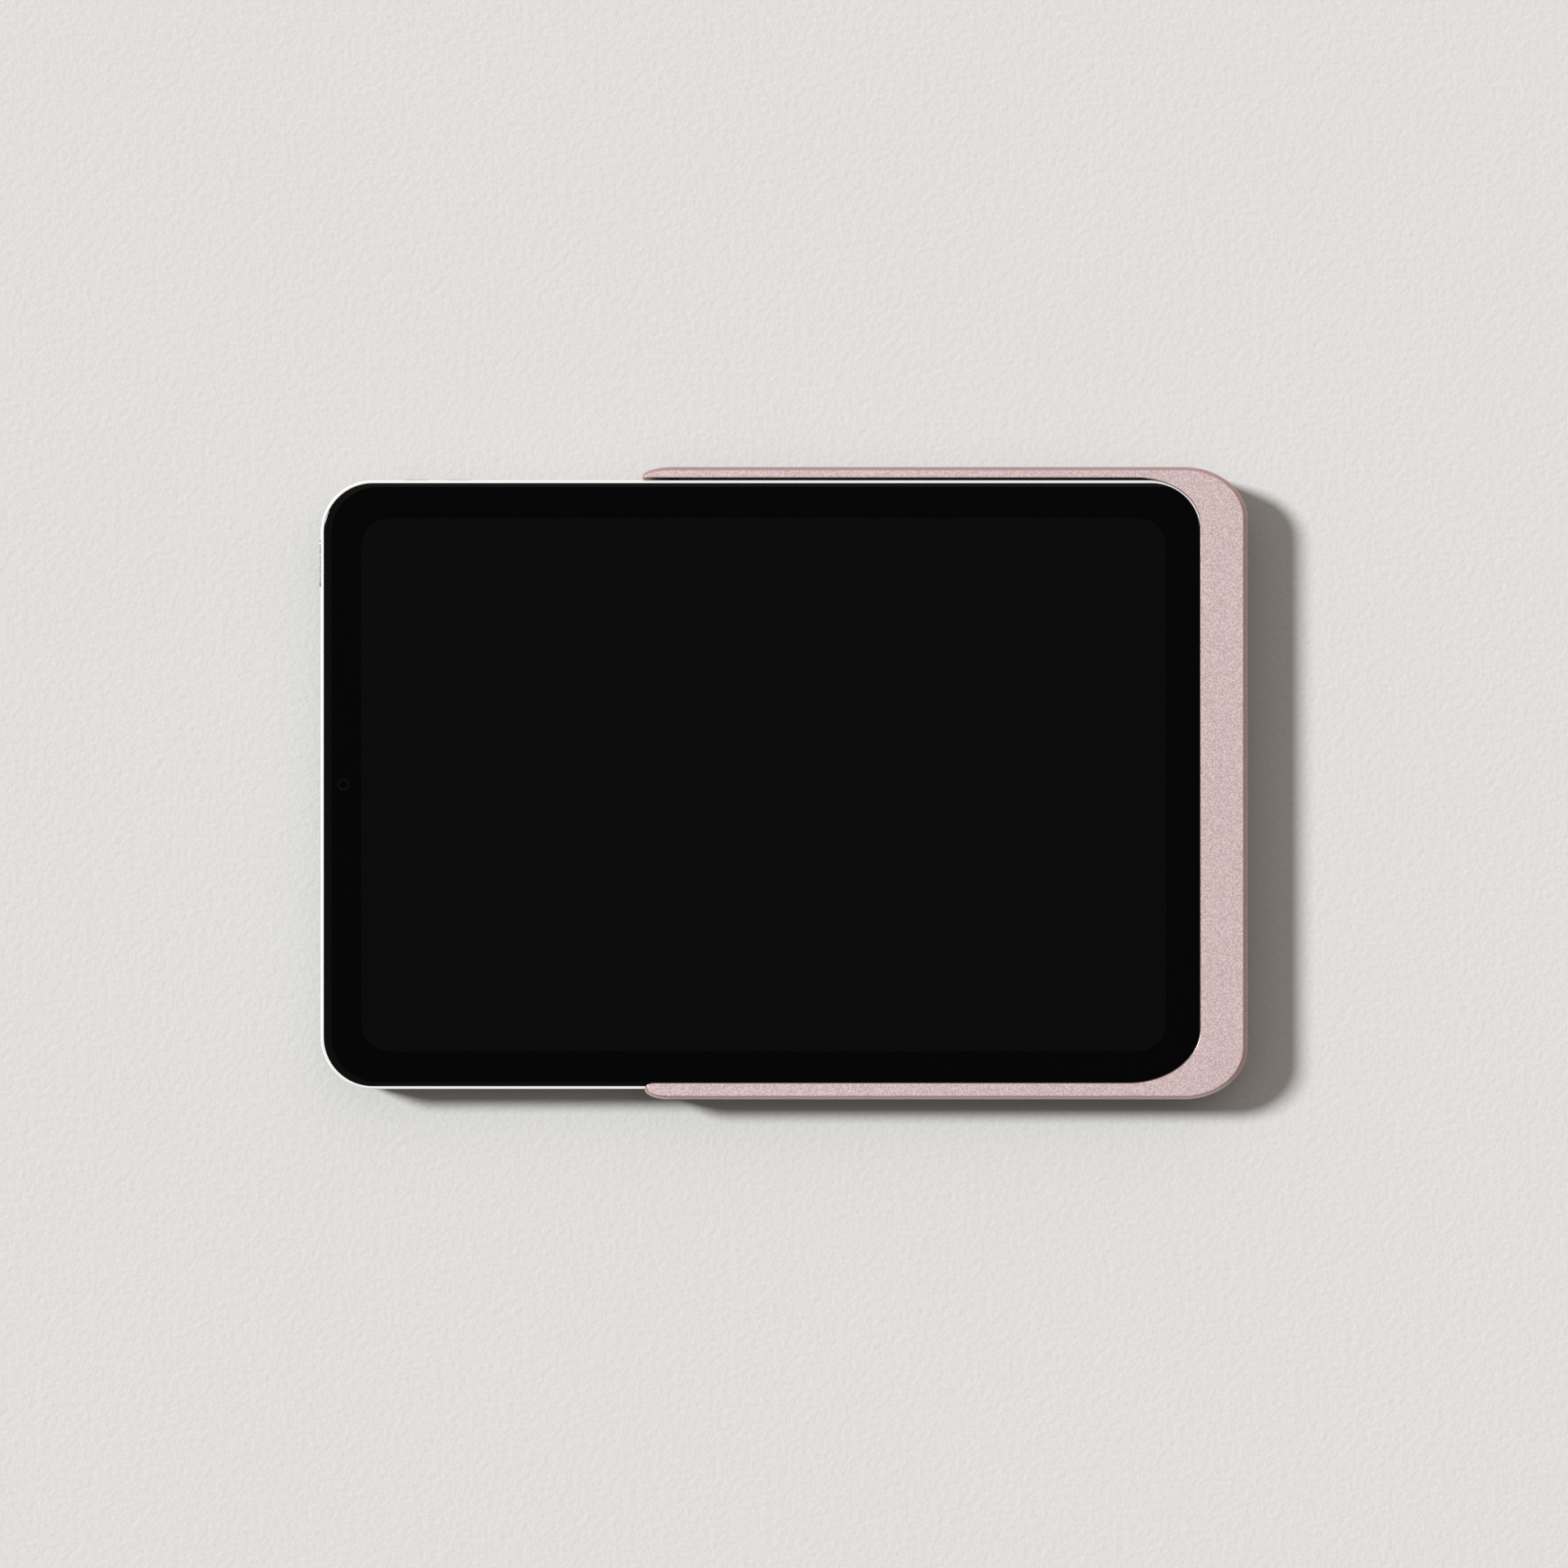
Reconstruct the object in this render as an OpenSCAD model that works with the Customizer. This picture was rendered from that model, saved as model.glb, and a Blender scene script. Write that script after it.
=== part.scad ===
// Small tablet computer seated in a slide-on aluminium sleeve.
// X runs along the tablet's long side, Y across it and Z up out of the screen.
// The origin is below the middle of the whole object, on the surface it lies on.

/* [Tablet] */
// Length of the tablet
tablet_l = 195.4; // [192:0.2:200]
// Width of the tablet
tablet_w = 134.8; // [132:0.2:135]
// Thickness of the tablet, without its camera ring
tablet_t = 6.3; // [6.3:0.1:6.8]
// Corner radius of the tablet, seen from the front
tablet_r = 11.5; // [10.5:0.5:12.5]
// Width of the bare metal rim around the glass
rim_w = 0.65; // [0.5:0.05:0.8]
// Length of the picture area
screen_l = 178.5; // [174:0.5:178.5]
// Width of the picture area
screen_w = 118.4; // [114:0.2:118.4]
// Length of the power button
power_l = 11; // [8:0.5:12]
// Length of each volume button
volume_l = 6.5; // [5:0.5:7]
// How far the power button stands out of the housing
power_proud = 0.55; // [0.45:0.05:0.6]
// How far the volume buttons stand out of the housing
volume_proud = 0.3; // [0.3:0.05:0.5]

/* [Sleeve] */
// Length of the sleeve, from the tips of its arms to its closed end
sleeve_l = 134; // [125:0.5:140]
// Width of the sleeve
sleeve_w = 140; // [140:0.5:144]
// Height of the sleeve, with its pads
sleeve_h = 11; // [11:0.1:12]
// Distance from the tablet's end to the sleeve's closed end
end_wall = 9.75; // [9.75:0.05:12]
// Width of the bevel along the sleeve's sides; the closed end has a wider one
bevel_w = 0.8; // [0.4:0.1:1]
// Radius of the round dock recess in the sleeve's back
dock_r = 21; // [20:0.5:23]

/* [Hidden] */
$fn = 64;
eps = 0.01;

// Where the tablet and the sleeve lie
total_l = power_proud + tablet_l + end_wall;
tab_x = -total_l / 2 + power_proud + tablet_l / 2;
tab_y = -0.35;
tab_z = 3.75;
sleeve_east = total_l / 2;
sleeve_west = sleeve_east - sleeve_l;
dock_x = (sleeve_west + sleeve_east) / 2;

// Tablet housing
hl = tablet_l / 2;
hw = tablet_w / 2;
wall = 1.6;
floor_t = 0.8;
back_round = 0.9;
front_round = 0.2;
mid_z = tablet_t / 2;

// Glass and display stack, measured from the tablet's back face
glass_t = 0.6;
gasket_t = 0.1;
glass_z = tablet_t - glass_t;
seat_z = glass_z - gasket_t;
panel_t = 1.55;
panel_z = glass_z - panel_t;
panel_border = 0.6;
panel_x = 0.35;
screen_r = 6.5;
shield_t = 0.2;
shield_z = panel_z - shield_t;
panel_hl = screen_l / 2 + panel_border;
panel_hw = screen_w / 2 + panel_border;

// Buttons and the switches behind them
button_h = 2.4;
button_gap = 0.1;
flange_t = 0.4;
flange_lip = 0.7;
key_play = 0.03;
key_bevel = 0.15;
press = 0.25;
switch_t = 1;
switch_in = wall + flange_t + press + 0.15;
power_y = 49.1;
volume_x = [-76.9, -67.8];

// Rear camera, flash and microphone, placed from the tablet's corner
camera_x = -hl + 13;
camera_y = hw - 13;
camera_bump = 0.9;
ring_r = 5.9;
ring_body_r = 5.2;
window_r = 4.85;
window_t = 0.5;
camera_bore = 4.3;
lens_r = 3.2;
camera_block = 10;
flash_x = camera_x + 10.5;
flash_r = 1.7;
mic_x = camera_x + 6.95;
mic_hole_r = 0.4;

// Front camera, in the border at the tablet's west end
front_camera_x = -hl + 5.05;

// Battery and logic board
cell_z = floor_t + 0.15;
cell_t = 2.75;
cell_l = 54.5;
cell_w = 108;
cell_x = [-10.75, 44.75];
board_l = 29.5;
board_w = 100;
board_x = -56.75;
board_z = 1.2;
board_t = 0.7;
screw_r = 0.7;
screw_places = [for (x = [-12.5, 12.5], y = [-48, 48]) [board_x + x, y]];
// Each chip and connector: its centre, then its length, width and height
chips = [
    [-58, 12, 14, 14, 1], [-58, -8, 12, 14, 1], [-52, -29, 8, 8, 0.9],
    [-62, -29, 9, 11, 0.9], [-64, 34, 6, 6, 0.7], [-54, 34, 7, 5, 0.7],
    [-45.7, 0, 2.6, 14, 1], [-45.7, 40, 2.6, 8, 1], [-45.7, -17, 2.6, 8, 1]
];

// Speakers
speaker_z = floor_t + 0.1;
speaker_t = 2.75;
speaker_face = hl - 2.5;
cone_z = speaker_z + speaker_t - 0.8;
// Each speaker: its end of the tablet, its depth, and its two ends along Y
speakers = [[-1, 17, 15, 39], [-1, 21, -58, -15], [1, 21, 15, 58], [1, 21, -58, -15]];
grille_y = 26;
grille_count = 8;
grille_pitch = 2.2;
grille_r = 0.75;

// Charging socket and the plug that meets it
usb_l = 8.25;
usb_h = 2.4;
socket_l = 5.8;
plug_reach = 6.4;

// Sleeve shell; the tablet rests against its south wall
clear = 0.2;
pad_proud = 0.4;
skin_z = 2.8;
tray_z = 3.4;
lip_z = tab_z + tablet_t + 0.1;
east_corner = [14.1, 11.5];
north_tip = [6.9, 2.2];
south_tip = [5.4, 2.2];
south_start = sleeve_west + 0.5;
lip_north_corner = [14.3, 10.5];
lip_south_corner = [16, 12];
lip_east = sleeve_east - 10.45;
wall_north = hw + clear;
wall_south = hw + clear - tab_y;
lip_south = -66.35;
lip_tip = [2.1, 1.5];
foot_bevel = 0.6;
end_bevel = bevel_w + 0.25;

// Back cover of the sleeve
cover_t = 1.2;
cover_west = sleeve_west + 4.15;
cover_east = sleeve_east - 2.45;
cover_w = 112;
cover_r = 10;
cover_mid = (cover_west + cover_east) / 2;
cover_len = cover_east - cover_west;
pocket_west = sleeve_west + 11.15;
pocket_east = sleeve_east - 11.85;
pocket_w = 96;
rail_west = sleeve_west + 8;
rail_l = 108;
rail_sunk = 0.3;
cover_screw_r = 0.8;
cover_head_r = 1.5;
cover_screw_places = [
    for (s = [-1, 1]) each [
        [sleeve_west + 7.65, 50 * s],
        [cover_mid, 52 * s],
        [sleeve_east - 6.35, 46 * s]
    ]
];
pad_places = [for (x = [sleeve_west + 17, sleeve_east - 20], y = [-42, 42]) [x, y]];
pad_l = 22;
pad_w = 7;
pad_sunk = 0.5;
dock_depth = 0.8;
dock_core_r = dock_r - 1;
insert_r = 12;
magnet_r = 3;
magnet_ring_r = 16;
contact_r = 1.4;
contact_places = [-6.9, -2.3, 2.3, 6.9];
dock_floor = pad_proud + dock_depth;

// Plug block in the closed end of the sleeve
block_west = sleeve_east - 8.55;
block_east = sleeve_east - 3.25;
block_w = 30;
block_top = 9;
nose_l = 10.6;
nose_h = 4.6;
plug_z = tab_z + mid_z;
carrier_h = block_top - skin_z - 0.2;
charge_x = block_west + 4.1;

// ---------- Shapes that repeat ----------

// Flat rectangle with true arcs at its corners
module round_rect(l, w, r) {
    square([l - 2 * r, w], center = true);
    square([l, w - 2 * r], center = true);
    for (sx = [-1, 1], sy = [-1, 1])
        translate([sx * (l / 2 - r), sy * (w / 2 - r)]) circle(r);
}

// Flat bar with half-round ends
module pill(l, w) {
    square([l - w, w], center = true);
    for (s = [-1, 1]) translate([s * (l - w) / 2, 0]) circle(w / 2);
}

// Rounded plate from height z up
module plate(l, w, r, z, t) {
    translate([0, 0, z]) linear_extrude(t) round_rect(l, w, r);
}

// Pill-shaped bar along X, its long side across Y
module pill_along_x(x, len, l, h, z) {
    translate([x, 0, z]) rotate([90, 0, 90]) linear_extrude(len) pill(l, h);
}

// Plain box given by its lowest corner and size
module box(corner, size) translate(corner) cube(size);

// Edge profile of the housing: half width a, a rounded back edge and a small bevel at the front
function housing_side(a) = concat(
    [for (t = [0:30:90]) [a - back_round + back_round * sin(t), back_round - back_round * cos(t)]],
    [[a, tablet_t - front_round], [a - front_round, tablet_t]]
);
function mirrored(side) = [for (i = [len(side) - 1:-1:0]) [-side[i].x, side[i].y]];

// Slab with that edge profile all round, its corners turned
module housing_blank() {
    long_side = housing_side(hl);
    wide_side = housing_side(hw);
    rotate([90, 0, 0]) linear_extrude(tablet_w - 2 * tablet_r, center = true)
        polygon(concat(long_side, mirrored(long_side)));
    for (s = [-1, 1])
        translate([0, s * (hw - tablet_r), 0]) mirror([0, s < 0 ? 1 : 0, 0])
            rotate([90, 0, 90]) linear_extrude(tablet_l - 2 * tablet_r, center = true)
                polygon(concat([[0, 0]], housing_side(tablet_r), [[0, tablet_t]]));
    for (sx = [0, 1], sy = [0, 1])
        mirror([sx, 0, 0]) mirror([0, sy, 0]) translate([hl - tablet_r, hw - tablet_r, 0])
            rotate_extrude(angle = 90) polygon(concat([[0, 0]], housing_side(tablet_r), [[0, tablet_t]]));
}

// Moves children from the tablet's own frame, at the middle of its back face, into place
module in_tablet() {
    translate([tab_x, tab_y, tab_z]) children();
}

// ---------- Tablet: casing and glass ----------

module rear_housing() color("gainsboro") in_tablet() difference() {
    union() {
        difference() {
            housing_blank();
            plate(tablet_l - 2 * wall, tablet_w - 2 * wall, tablet_r - wall, floor_t, tablet_t);
        }
        for (p = screw_places)
            translate([p.x, p.y, floor_t - eps]) cylinder(r = 1.8, h = board_z - floor_t + eps);
    }
    plate(tablet_l - 2 * rim_w + 0.1, tablet_w - 2 * rim_w + 0.1, tablet_r - rim_w + 0.05, seat_z, tablet_t);
    for (p = screw_places) translate([p.x, p.y, 0.3]) cylinder(r = screw_r + 0.02, h = board_z);
    power_slot();
    for (x = volume_x) translate([x, 0, 0]) volume_slot();
    for (s = [-1, 1]) translate([s * (hl - wall / 2), 0, 0]) grille_holes();
    pill_along_x(hl - wall - eps, wall + 1, usb_l + 0.4, usb_h + 0.4, mid_z);
    translate([camera_x, camera_y, -1]) cylinder(r = ring_body_r + 0.05, h = floor_t + 2);
    translate([flash_x, camera_y, -1]) cylinder(r = flash_r + 0.05, h = floor_t + 2);
    translate([mic_x, camera_y, -1]) cylinder(r = mic_hole_r, h = floor_t + 2);
}

// Slot for the power button through the west wall
module power_slot() {
    translate([-hl, power_y, mid_z]) rotate([90, 0, 90]) key_slot(power_l);
}

// Slot for one volume button through the north wall
module volume_slot() {
    translate([0, hw, mid_z]) rotate([90, 0, 0]) key_slot(volume_l);
}

// Slot for a key of length l, from 1 outside a wall along +Z to just inside it
module key_slot(l) {
    translate([0, 0, -1]) linear_extrude(wall + 1.5) pill(l + 2 * button_gap, button_h + 2 * button_gap);
}

// Two rows of sound holes through an end wall
module grille_holes() for (s = [-1, 1], i = [0:grille_count - 1])
    translate([0, s * grille_y + (i - (grille_count - 1) / 2) * grille_pitch, mid_z])
        rotate([0, 90, 0]) cylinder(r = grille_r, h = wall + 2, center = true);

module cover_glass() color("black") in_tablet()
    plate(tablet_l - 2 * rim_w, tablet_w - 2 * rim_w, tablet_r - rim_w, glass_z, glass_t);

module glass_gasket() color("dimgray") in_tablet() difference() {
    plate(tablet_l - 1.4, tablet_w - 1.4, tablet_r - 0.7, seat_z, gasket_t);
    plate(tablet_l - 3, tablet_w - 3, tablet_r - 1.5, seat_z - 1, 3);
}

// ---------- Tablet: display ----------

module display_panel() color("darkslategray") in_tablet() translate([panel_x, 0, 0])
    plate(2 * panel_hl, 2 * panel_hw, screen_r + 0.5, panel_z, panel_t);

module display_shield() color("silver") in_tablet() translate([panel_x, 0, 0])
    plate(2 * panel_hl - 2, 2 * panel_hw - 2, screen_r, shield_z, shield_t);

module display_flex() color("darkorange") in_tablet() {
    box([-47, -7, 3.72], [11, 14, 0.15]);
    box([-47, -7, 2.9], [2.6, 14, 0.83]);
}

// ---------- Tablet: cameras and sensors ----------

module front_camera() color("black") in_tablet() difference() {
    union() {
        box([front_camera_x - 2.4, -4, 1.25], [4.7, 8, 3.35]);
        translate([front_camera_x, 0, 4.6 - eps]) cylinder(r = 1.9, h = seat_z - 4.6);
    }
    translate([front_camera_x, 0, 4.9]) cylinder(r1 = 0.7, r2 = 1.4, h = 1);
}

module light_sensor() color("dimgray") in_tablet() box([-hl + 3.4, 7.5, 4.3], [3, 2.6, 1.2]);

module sensor_flex() color("darkorange") in_tablet() {
    box([-hl + 2.6, -5, 1], [8, 16, 0.15]);
    box([-hl + 4.4, 8, 1.14], [1, 1.6, 3.15]);
}

module camera_ring() color("silver") in_tablet() translate([camera_x, camera_y, 0]) difference() {
    union() {
        translate([0, 0, -camera_bump]) cylinder(r1 = ring_r - 0.3, r2 = ring_r, h = 0.3);
        translate([0, 0, 0.3 - camera_bump]) cylinder(r = ring_r, h = camera_bump - 0.3);
        translate([0, 0, -eps]) cylinder(r = ring_body_r, h = floor_t + eps);
    }
    translate([0, 0, -2]) cylinder(r = camera_bore, h = 4);
    translate([0, 0, -camera_bump - 1]) cylinder(r = window_r + 0.05, h = 1 + window_t + 0.05);
}

module camera_window() color("midnightblue") in_tablet()
    translate([camera_x, camera_y, 0.05 - camera_bump]) cylinder(r = window_r, h = window_t);

module camera_module() color("dimgray") in_tablet() translate([camera_x, camera_y, 0]) difference() {
    box([-camera_block / 2, -camera_block / 2, floor_t + 0.1], [camera_block, camera_block, 2.85]);
    cylinder(r = lens_r + 0.2, h = 3.2);
}

// Lens barrel, which the focus motor moves out towards the window
module camera_lens() color("black") in_tablet() translate([camera_x, camera_y, 0]) difference() {
    cylinder(r = lens_r, h = 2.8);
    translate([0, 0, -eps]) cylinder(r1 = 2.6, r2 = 1.2, h = 0.8);
}

module flash_lens() color("ivory") in_tablet()
    translate([flash_x, camera_y, 0.02]) cylinder(r = flash_r, h = floor_t);

module flash_board() color("darkgreen") in_tablet() {
    box([flash_x - 2.2, camera_y - 2, floor_t + 0.1], [4.4, 4, 0.6]);
    box([flash_x - 0.8, camera_y - 0.8, floor_t + 0.7 - eps], [1.6, 1.6, 0.4]);
}

// Microphones behind the rear hole and in the west border
module microphones() color("silver") in_tablet() {
    box([mic_x - 1.15, camera_y - 1.5, floor_t + 0.1], [2.2, 3, 1]);
    for (y = [-12, 42]) box([-hl + 2.8, y - 1.5, 4], [2.6, 3, 1]);
}

// ---------- Tablet: battery ----------

module cell(x) translate([x, 0, 0]) {
    plate(cell_l, cell_w, 2, cell_z, cell_t);
    for (y = [-18, 18]) box([-cell_l / 2 - 0.3, y - 2, 2.1], [0.4, 4, 0.2]);
}

module battery_cell_a() color("darkgray") in_tablet() cell(cell_x[0]);
module battery_cell_b() color("darkgray") in_tablet() cell(cell_x[1]);

module battery_board() color("darkgreen") in_tablet() {
    box([-41.6, -30, board_z], [3.2, 60, 0.6]);
    for (y = [-24:12:24]) box([-41.1, y - 2, board_z + 0.6 - eps], [2.2, 4, 0.7]);
}

module battery_adhesive() color("white") in_tablet()
    for (x = cell_x, s = [-1, 1]) box([x + s * 14 - 4, -48, floor_t], [8, 96, 0.15]);

// ---------- Tablet: logic board ----------

module logic_board() color("darkgreen") in_tablet() difference() {
    translate([board_x, 0, 0]) plate(board_l, board_w, 1.5, board_z, board_t);
    for (p = screw_places) translate([p.x, p.y, 0]) cylinder(r = screw_r + 0.1, h = 5);
}

module board_chips() color("darkslategray") in_tablet() for (c = chips)
    box([c[0] - c[2] / 2, c[1] - c[3] / 2, board_z + board_t], [c[2], c[3], c[4]]);

// Pressed steel lid, open below
module can(x, y, l, w) translate([x, y, board_z + board_t]) difference() {
    translate([-l / 2, -w / 2, 0]) cube([l, w, 1.4]);
    translate([-l / 2 + 0.2, -w / 2 + 0.2, -1]) cube([l - 0.4, w - 0.4, 2.2]);
}

module shield_cans() color("silver") in_tablet() {
    can(-57.8, 2, 18.6, 38);
    can(-57.3, -29, 19.6, 17);
}

module board_screw() difference() {
    union() {
        translate([0, 0, 0.35]) cylinder(r = screw_r, h = board_z + board_t - 0.3);
        translate([0, 0, board_z + board_t]) cylinder(r = 1.3, h = 0.5);
    }
    for (a = [0, 90]) rotate(a) translate([-0.8, -0.15, board_z + board_t + 0.2]) cube([1.6, 0.3, 1]);
}

module board_screws() color("silver") in_tablet()
    for (p = screw_places) translate([p.x, p.y, 0]) board_screw();

// ---------- Tablet: sound ----------

// Speaker box behind an end wall: side is -1 for west and 1 for east
module speaker_box(side, depth, y0, y1) {
    face = side * speaker_face;
    mouth_y = sign(y0 + y1) * grille_y;
    difference() {
        translate([face - side * depth / 2, (y0 + y1) / 2, 0]) {
            difference() {
                plate(depth, y1 - y0, 1.5, speaker_z, speaker_t);
                translate([0, 0, cone_z]) linear_extrude(2) cone_outline(0.3);
                translate([0, 0, speaker_z + 0.6]) linear_extrude(3) cone_outline(-1.2);
            }
        }
        box([min(face, face - side * 4), mouth_y - 7, speaker_z + 0.9], [4, 14, 0.9]);
    }
}

// Outline of the speaker's cone, grown by g
module cone_outline(g) {
    square([11 + 2 * g, 15 + 2 * g], center = true);
}

module speaker(s) color("black") in_tablet() speaker_box(s[0], s[1], s[2], s[3]);
module speaker_nw() speaker(speakers[0]);
module speaker_sw() speaker(speakers[1]);
module speaker_ne() speaker(speakers[2]);
module speaker_se() speaker(speakers[3]);

module speaker_cones() color("gray") in_tablet() for (s = speakers)
    translate([s[0] * (speaker_face - s[1] / 2), (s[2] + s[3]) / 2, cone_z + 0.05]) {
        linear_extrude(0.2) cone_outline(0.2);
        linear_extrude(0.5) cone_outline(-2);
    }

module speaker_meshes() color("dimgray") in_tablet() for (sx = [-1, 1], sy = [-1, 1])
    box([sx * (hl - 2.1) - 0.1, sy * grille_y - 9.5, mid_z - 1.6], [0.2, 19, 3.2]);

// ---------- Tablet: charging socket ----------

module usb_socket() color("silver") in_tablet() {
    back = hl - wall - socket_l;
    difference() {
        pill_along_x(back, socket_l, usb_l + 0.75, usb_h + 0.75, mid_z);
        pill_along_x(back + 0.4, socket_l, usb_l + 0.15, usb_h + 0.15, mid_z);
    }
    box([back + 0.3, -3.35, mid_z - 0.35], [4.4, 6.7, 0.7]);
}

module socket_flex() color("darkorange") in_tablet() {
    box([-46.8, -21, 3.72], [126.8, 6, 0.15]);
    box([74, -21, 3.72], [6, 24, 0.15]);
    box([74, -3, 3.72], [hl - wall - socket_l - 74, 6, 0.15]);
    box([-46.8, -21, 2.9], [2.2, 6, 0.83]);
}

// ---------- Tablet: buttons ----------

// Key cap with its retaining flange, pointing out along +Z from just behind the wall's inner face
module key(l, proud) {
    cap_t = wall + key_play + proud;
    translate([0, 0, -flange_t]) linear_extrude(flange_t) pill(l + 2 * flange_lip, button_h + 2 * flange_lip);
    translate([0, 0, -eps]) linear_extrude(cap_t - key_bevel + eps) pill(l, button_h);
    linear_extrude(cap_t) pill(l - 2 * key_bevel, button_h - 2 * key_bevel);
}

module power_button() color("gainsboro") in_tablet()
    translate([wall - hl + key_play, power_y, mid_z]) rotate([90, 0, -90]) key(power_l, power_proud);

module volume_button(x) in_tablet()
    translate([x, hw - wall - key_play, mid_z]) rotate([-90, 0, 0]) key(volume_l, volume_proud);
module volume_up_button() color("gainsboro") volume_button(volume_x[0]);
module volume_down_button() color("gainsboro") volume_button(volume_x[1]);

module power_switch() color("dimgray") in_tablet() {
    box([switch_in - hl, power_y - 5, mid_z - 1.3], [switch_t, 10, 2.6]);
    translate([switch_in - hl + 0.02, power_y, mid_z]) rotate([0, -90, 0]) cylinder(r = 1.1, h = 0.1);
}

module volume_switches() color("dimgray") in_tablet() {
    box([volume_x[0] - 4, hw - switch_in - 1.3, mid_z - 1.3], [volume_x[1] - volume_x[0] + 8, 0.35, 2.6]);
    for (x = volume_x) {
        box([x - 2, hw - switch_in - switch_t, mid_z - 1.2], [4, switch_t, 2.4]);
        translate([x, hw - switch_in - 0.02, mid_z]) rotate([-90, 0, 0]) cylinder(r = 0.9, h = 0.1);
    }
}

// ---------- Tablet: radio, magnets and stylus charger ----------

module wifi_antennas() color("goldenrod") in_tablet()
    for (p = [[45, 61], [45, -65.2], [-80, -65.2]]) box([p.x, p.y, 4.9], [35, 4.2, 0.2]);

module cover_magnets() color("lightgray") in_tablet() {
    for (x = [-60, -30, 30, 60]) box([x - 6, -65.2, 1], [12, 2, 3.6]);
    for (s = [-1, 1]) box([s * 31.5 - 4.5, 63.2, 1], [9, 2, 3.6]);
}

module stylus_coil() color("peru") in_tablet() difference() {
    box([-23, 63.2, 1.1], [46, 2.2, 3.8]);
    box([-19, 64.4, 2.3], [38, 2, 1.4]);
}

// ---------- Sleeve ----------

// Points on a part of an ellipse with centre c and half axes r
function arc(c, r, from, to, n) = [
    for (i = [0:n]) let (t = from + (to - from) * i / n) [c.x + r.x * cos(t), c.y + r.y * sin(t)]
];

// Outline of the sleeve with round corners at the closed end and thin round tips at the open end:
// d.x is how far it is pulled in at the closed end, and d.y at the sides and tips
function sleeve_outline(d) = let (y = sleeve_w / 2, e = east_corner, n = north_tip, s = south_tip) concat(
    arc([sleeve_east - e.x, y - e.y], e - d, 0, 90, 20),
    arc([sleeve_west + n.x, y - n.y], [n.x - d.y, n.y - d.y], 90, 180, 8),
    arc([south_start + s.x, s.y - y], [s.x - d.y, s.y - d.y], 180, 270, 8),
    arc([sleeve_east - e.x, e.y - y], e - d, 270, 360, 20)
);

// Solid through outlines of equal length: each level is a height and how far the outline is pulled in
module sleeve_blank(levels) {
    n = len(sleeve_outline([0, 0]));
    last = (len(levels) - 1) * n;
    polyhedron(
        [for (level = levels) each [for (p = sleeve_outline(level[1])) [p.x, p.y, level[0]]]],
        concat(
            [[for (i = [0:n - 1]) i]],
            [for (k = [0:len(levels) - 2], i = [0:n - 1])
                [k * n + i, (k + 1) * n + i, (k + 1) * n + (i + 1) % n, k * n + (i + 1) % n]],
            [[for (i = [n - 1:-1:0]) last + i]]
        )
    );
}

// Room for the tablet, open to the west
module tablet_room() translate([tab_x, 0, tray_z]) linear_extrude(lip_z - tray_z) {
    for (y = [0, tab_y])
        translate([0, y]) round_rect(tablet_l + 2 * clear, tablet_w + 2 * clear, tablet_r + clear);
    translate([-hl - 20, -wall_south]) square([hl + 20, wall_south + wall_north]);
}

// Opening in the front lip, with the south lip's rounded tip
module lip_opening() {
    n = lip_north_corner;
    s = lip_south_corner;
    translate([0, 0, lip_z - eps]) linear_extrude(5) polygon(concat(
        arc([lip_east - n.x, wall_north - n.y], n, 0, 90, 16),
        [[sleeve_west - 20, wall_north], [sleeve_west - 20, lip_south - lip_tip.y]],
        arc([south_start + lip_tip.x, lip_south - lip_tip.y], lip_tip, 180, 90, 8),
        arc([lip_east - s.x, lip_south + s.y], s, 270, 360, 16)
    ));
}

// Recess for the back cover, the pocket above it and the plug's block
module sleeve_pockets() {
    translate([cover_mid, 0, 0])
        plate(cover_len + 0.2, cover_w + 0.2, cover_r + 0.1, -1, pad_proud + cover_t + 1);
    box([pocket_west, -pocket_w / 2, 1], [pocket_east - pocket_west, pocket_w, skin_z - 1]);
    box([pocket_east - 1, -block_w / 2, 1], [block_east - pocket_east + 1, block_w, skin_z - 1]);
    box([block_west, -block_w / 2, 1], [block_east - block_west, block_w, block_top - 1]);
    translate([0, tab_y, 0]) pill_along_x(block_west - 3, 4, nose_l + 0.2, nose_h + 0.2, plug_z);
    for (p = cover_screw_places) translate([p.x, p.y, 1]) cylinder(r = cover_screw_r, h = 2.1);
    rail_strips(0);
}

// Two strips between the tablet's sides and the side walls, sunk into the walls and smaller all round by g
module rail_strips(g) {
    north = [hw + tab_y + g, wall_north + rail_sunk - g];
    south = [-wall_south - rail_sunk + g, tab_y - hw - g];
    for (strip = [north, south])
        translate([rail_west + g, strip[0], tab_z + 0.8 + g])
            cube([rail_l - 2 * g, strip[1] - strip[0], tablet_t - 1.8 - 2 * g]);
}

module sleeve_shell() color("rosybrown") difference() {
    sleeve_blank([
        [pad_proud, [foot_bevel, foot_bevel]], [pad_proud + foot_bevel, [0, 0]],
        [sleeve_h - bevel_w, [0, 0]], [sleeve_h, [end_bevel, bevel_w]]
    ]);
    tablet_room();
    lip_opening();
    sleeve_pockets();
}

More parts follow.
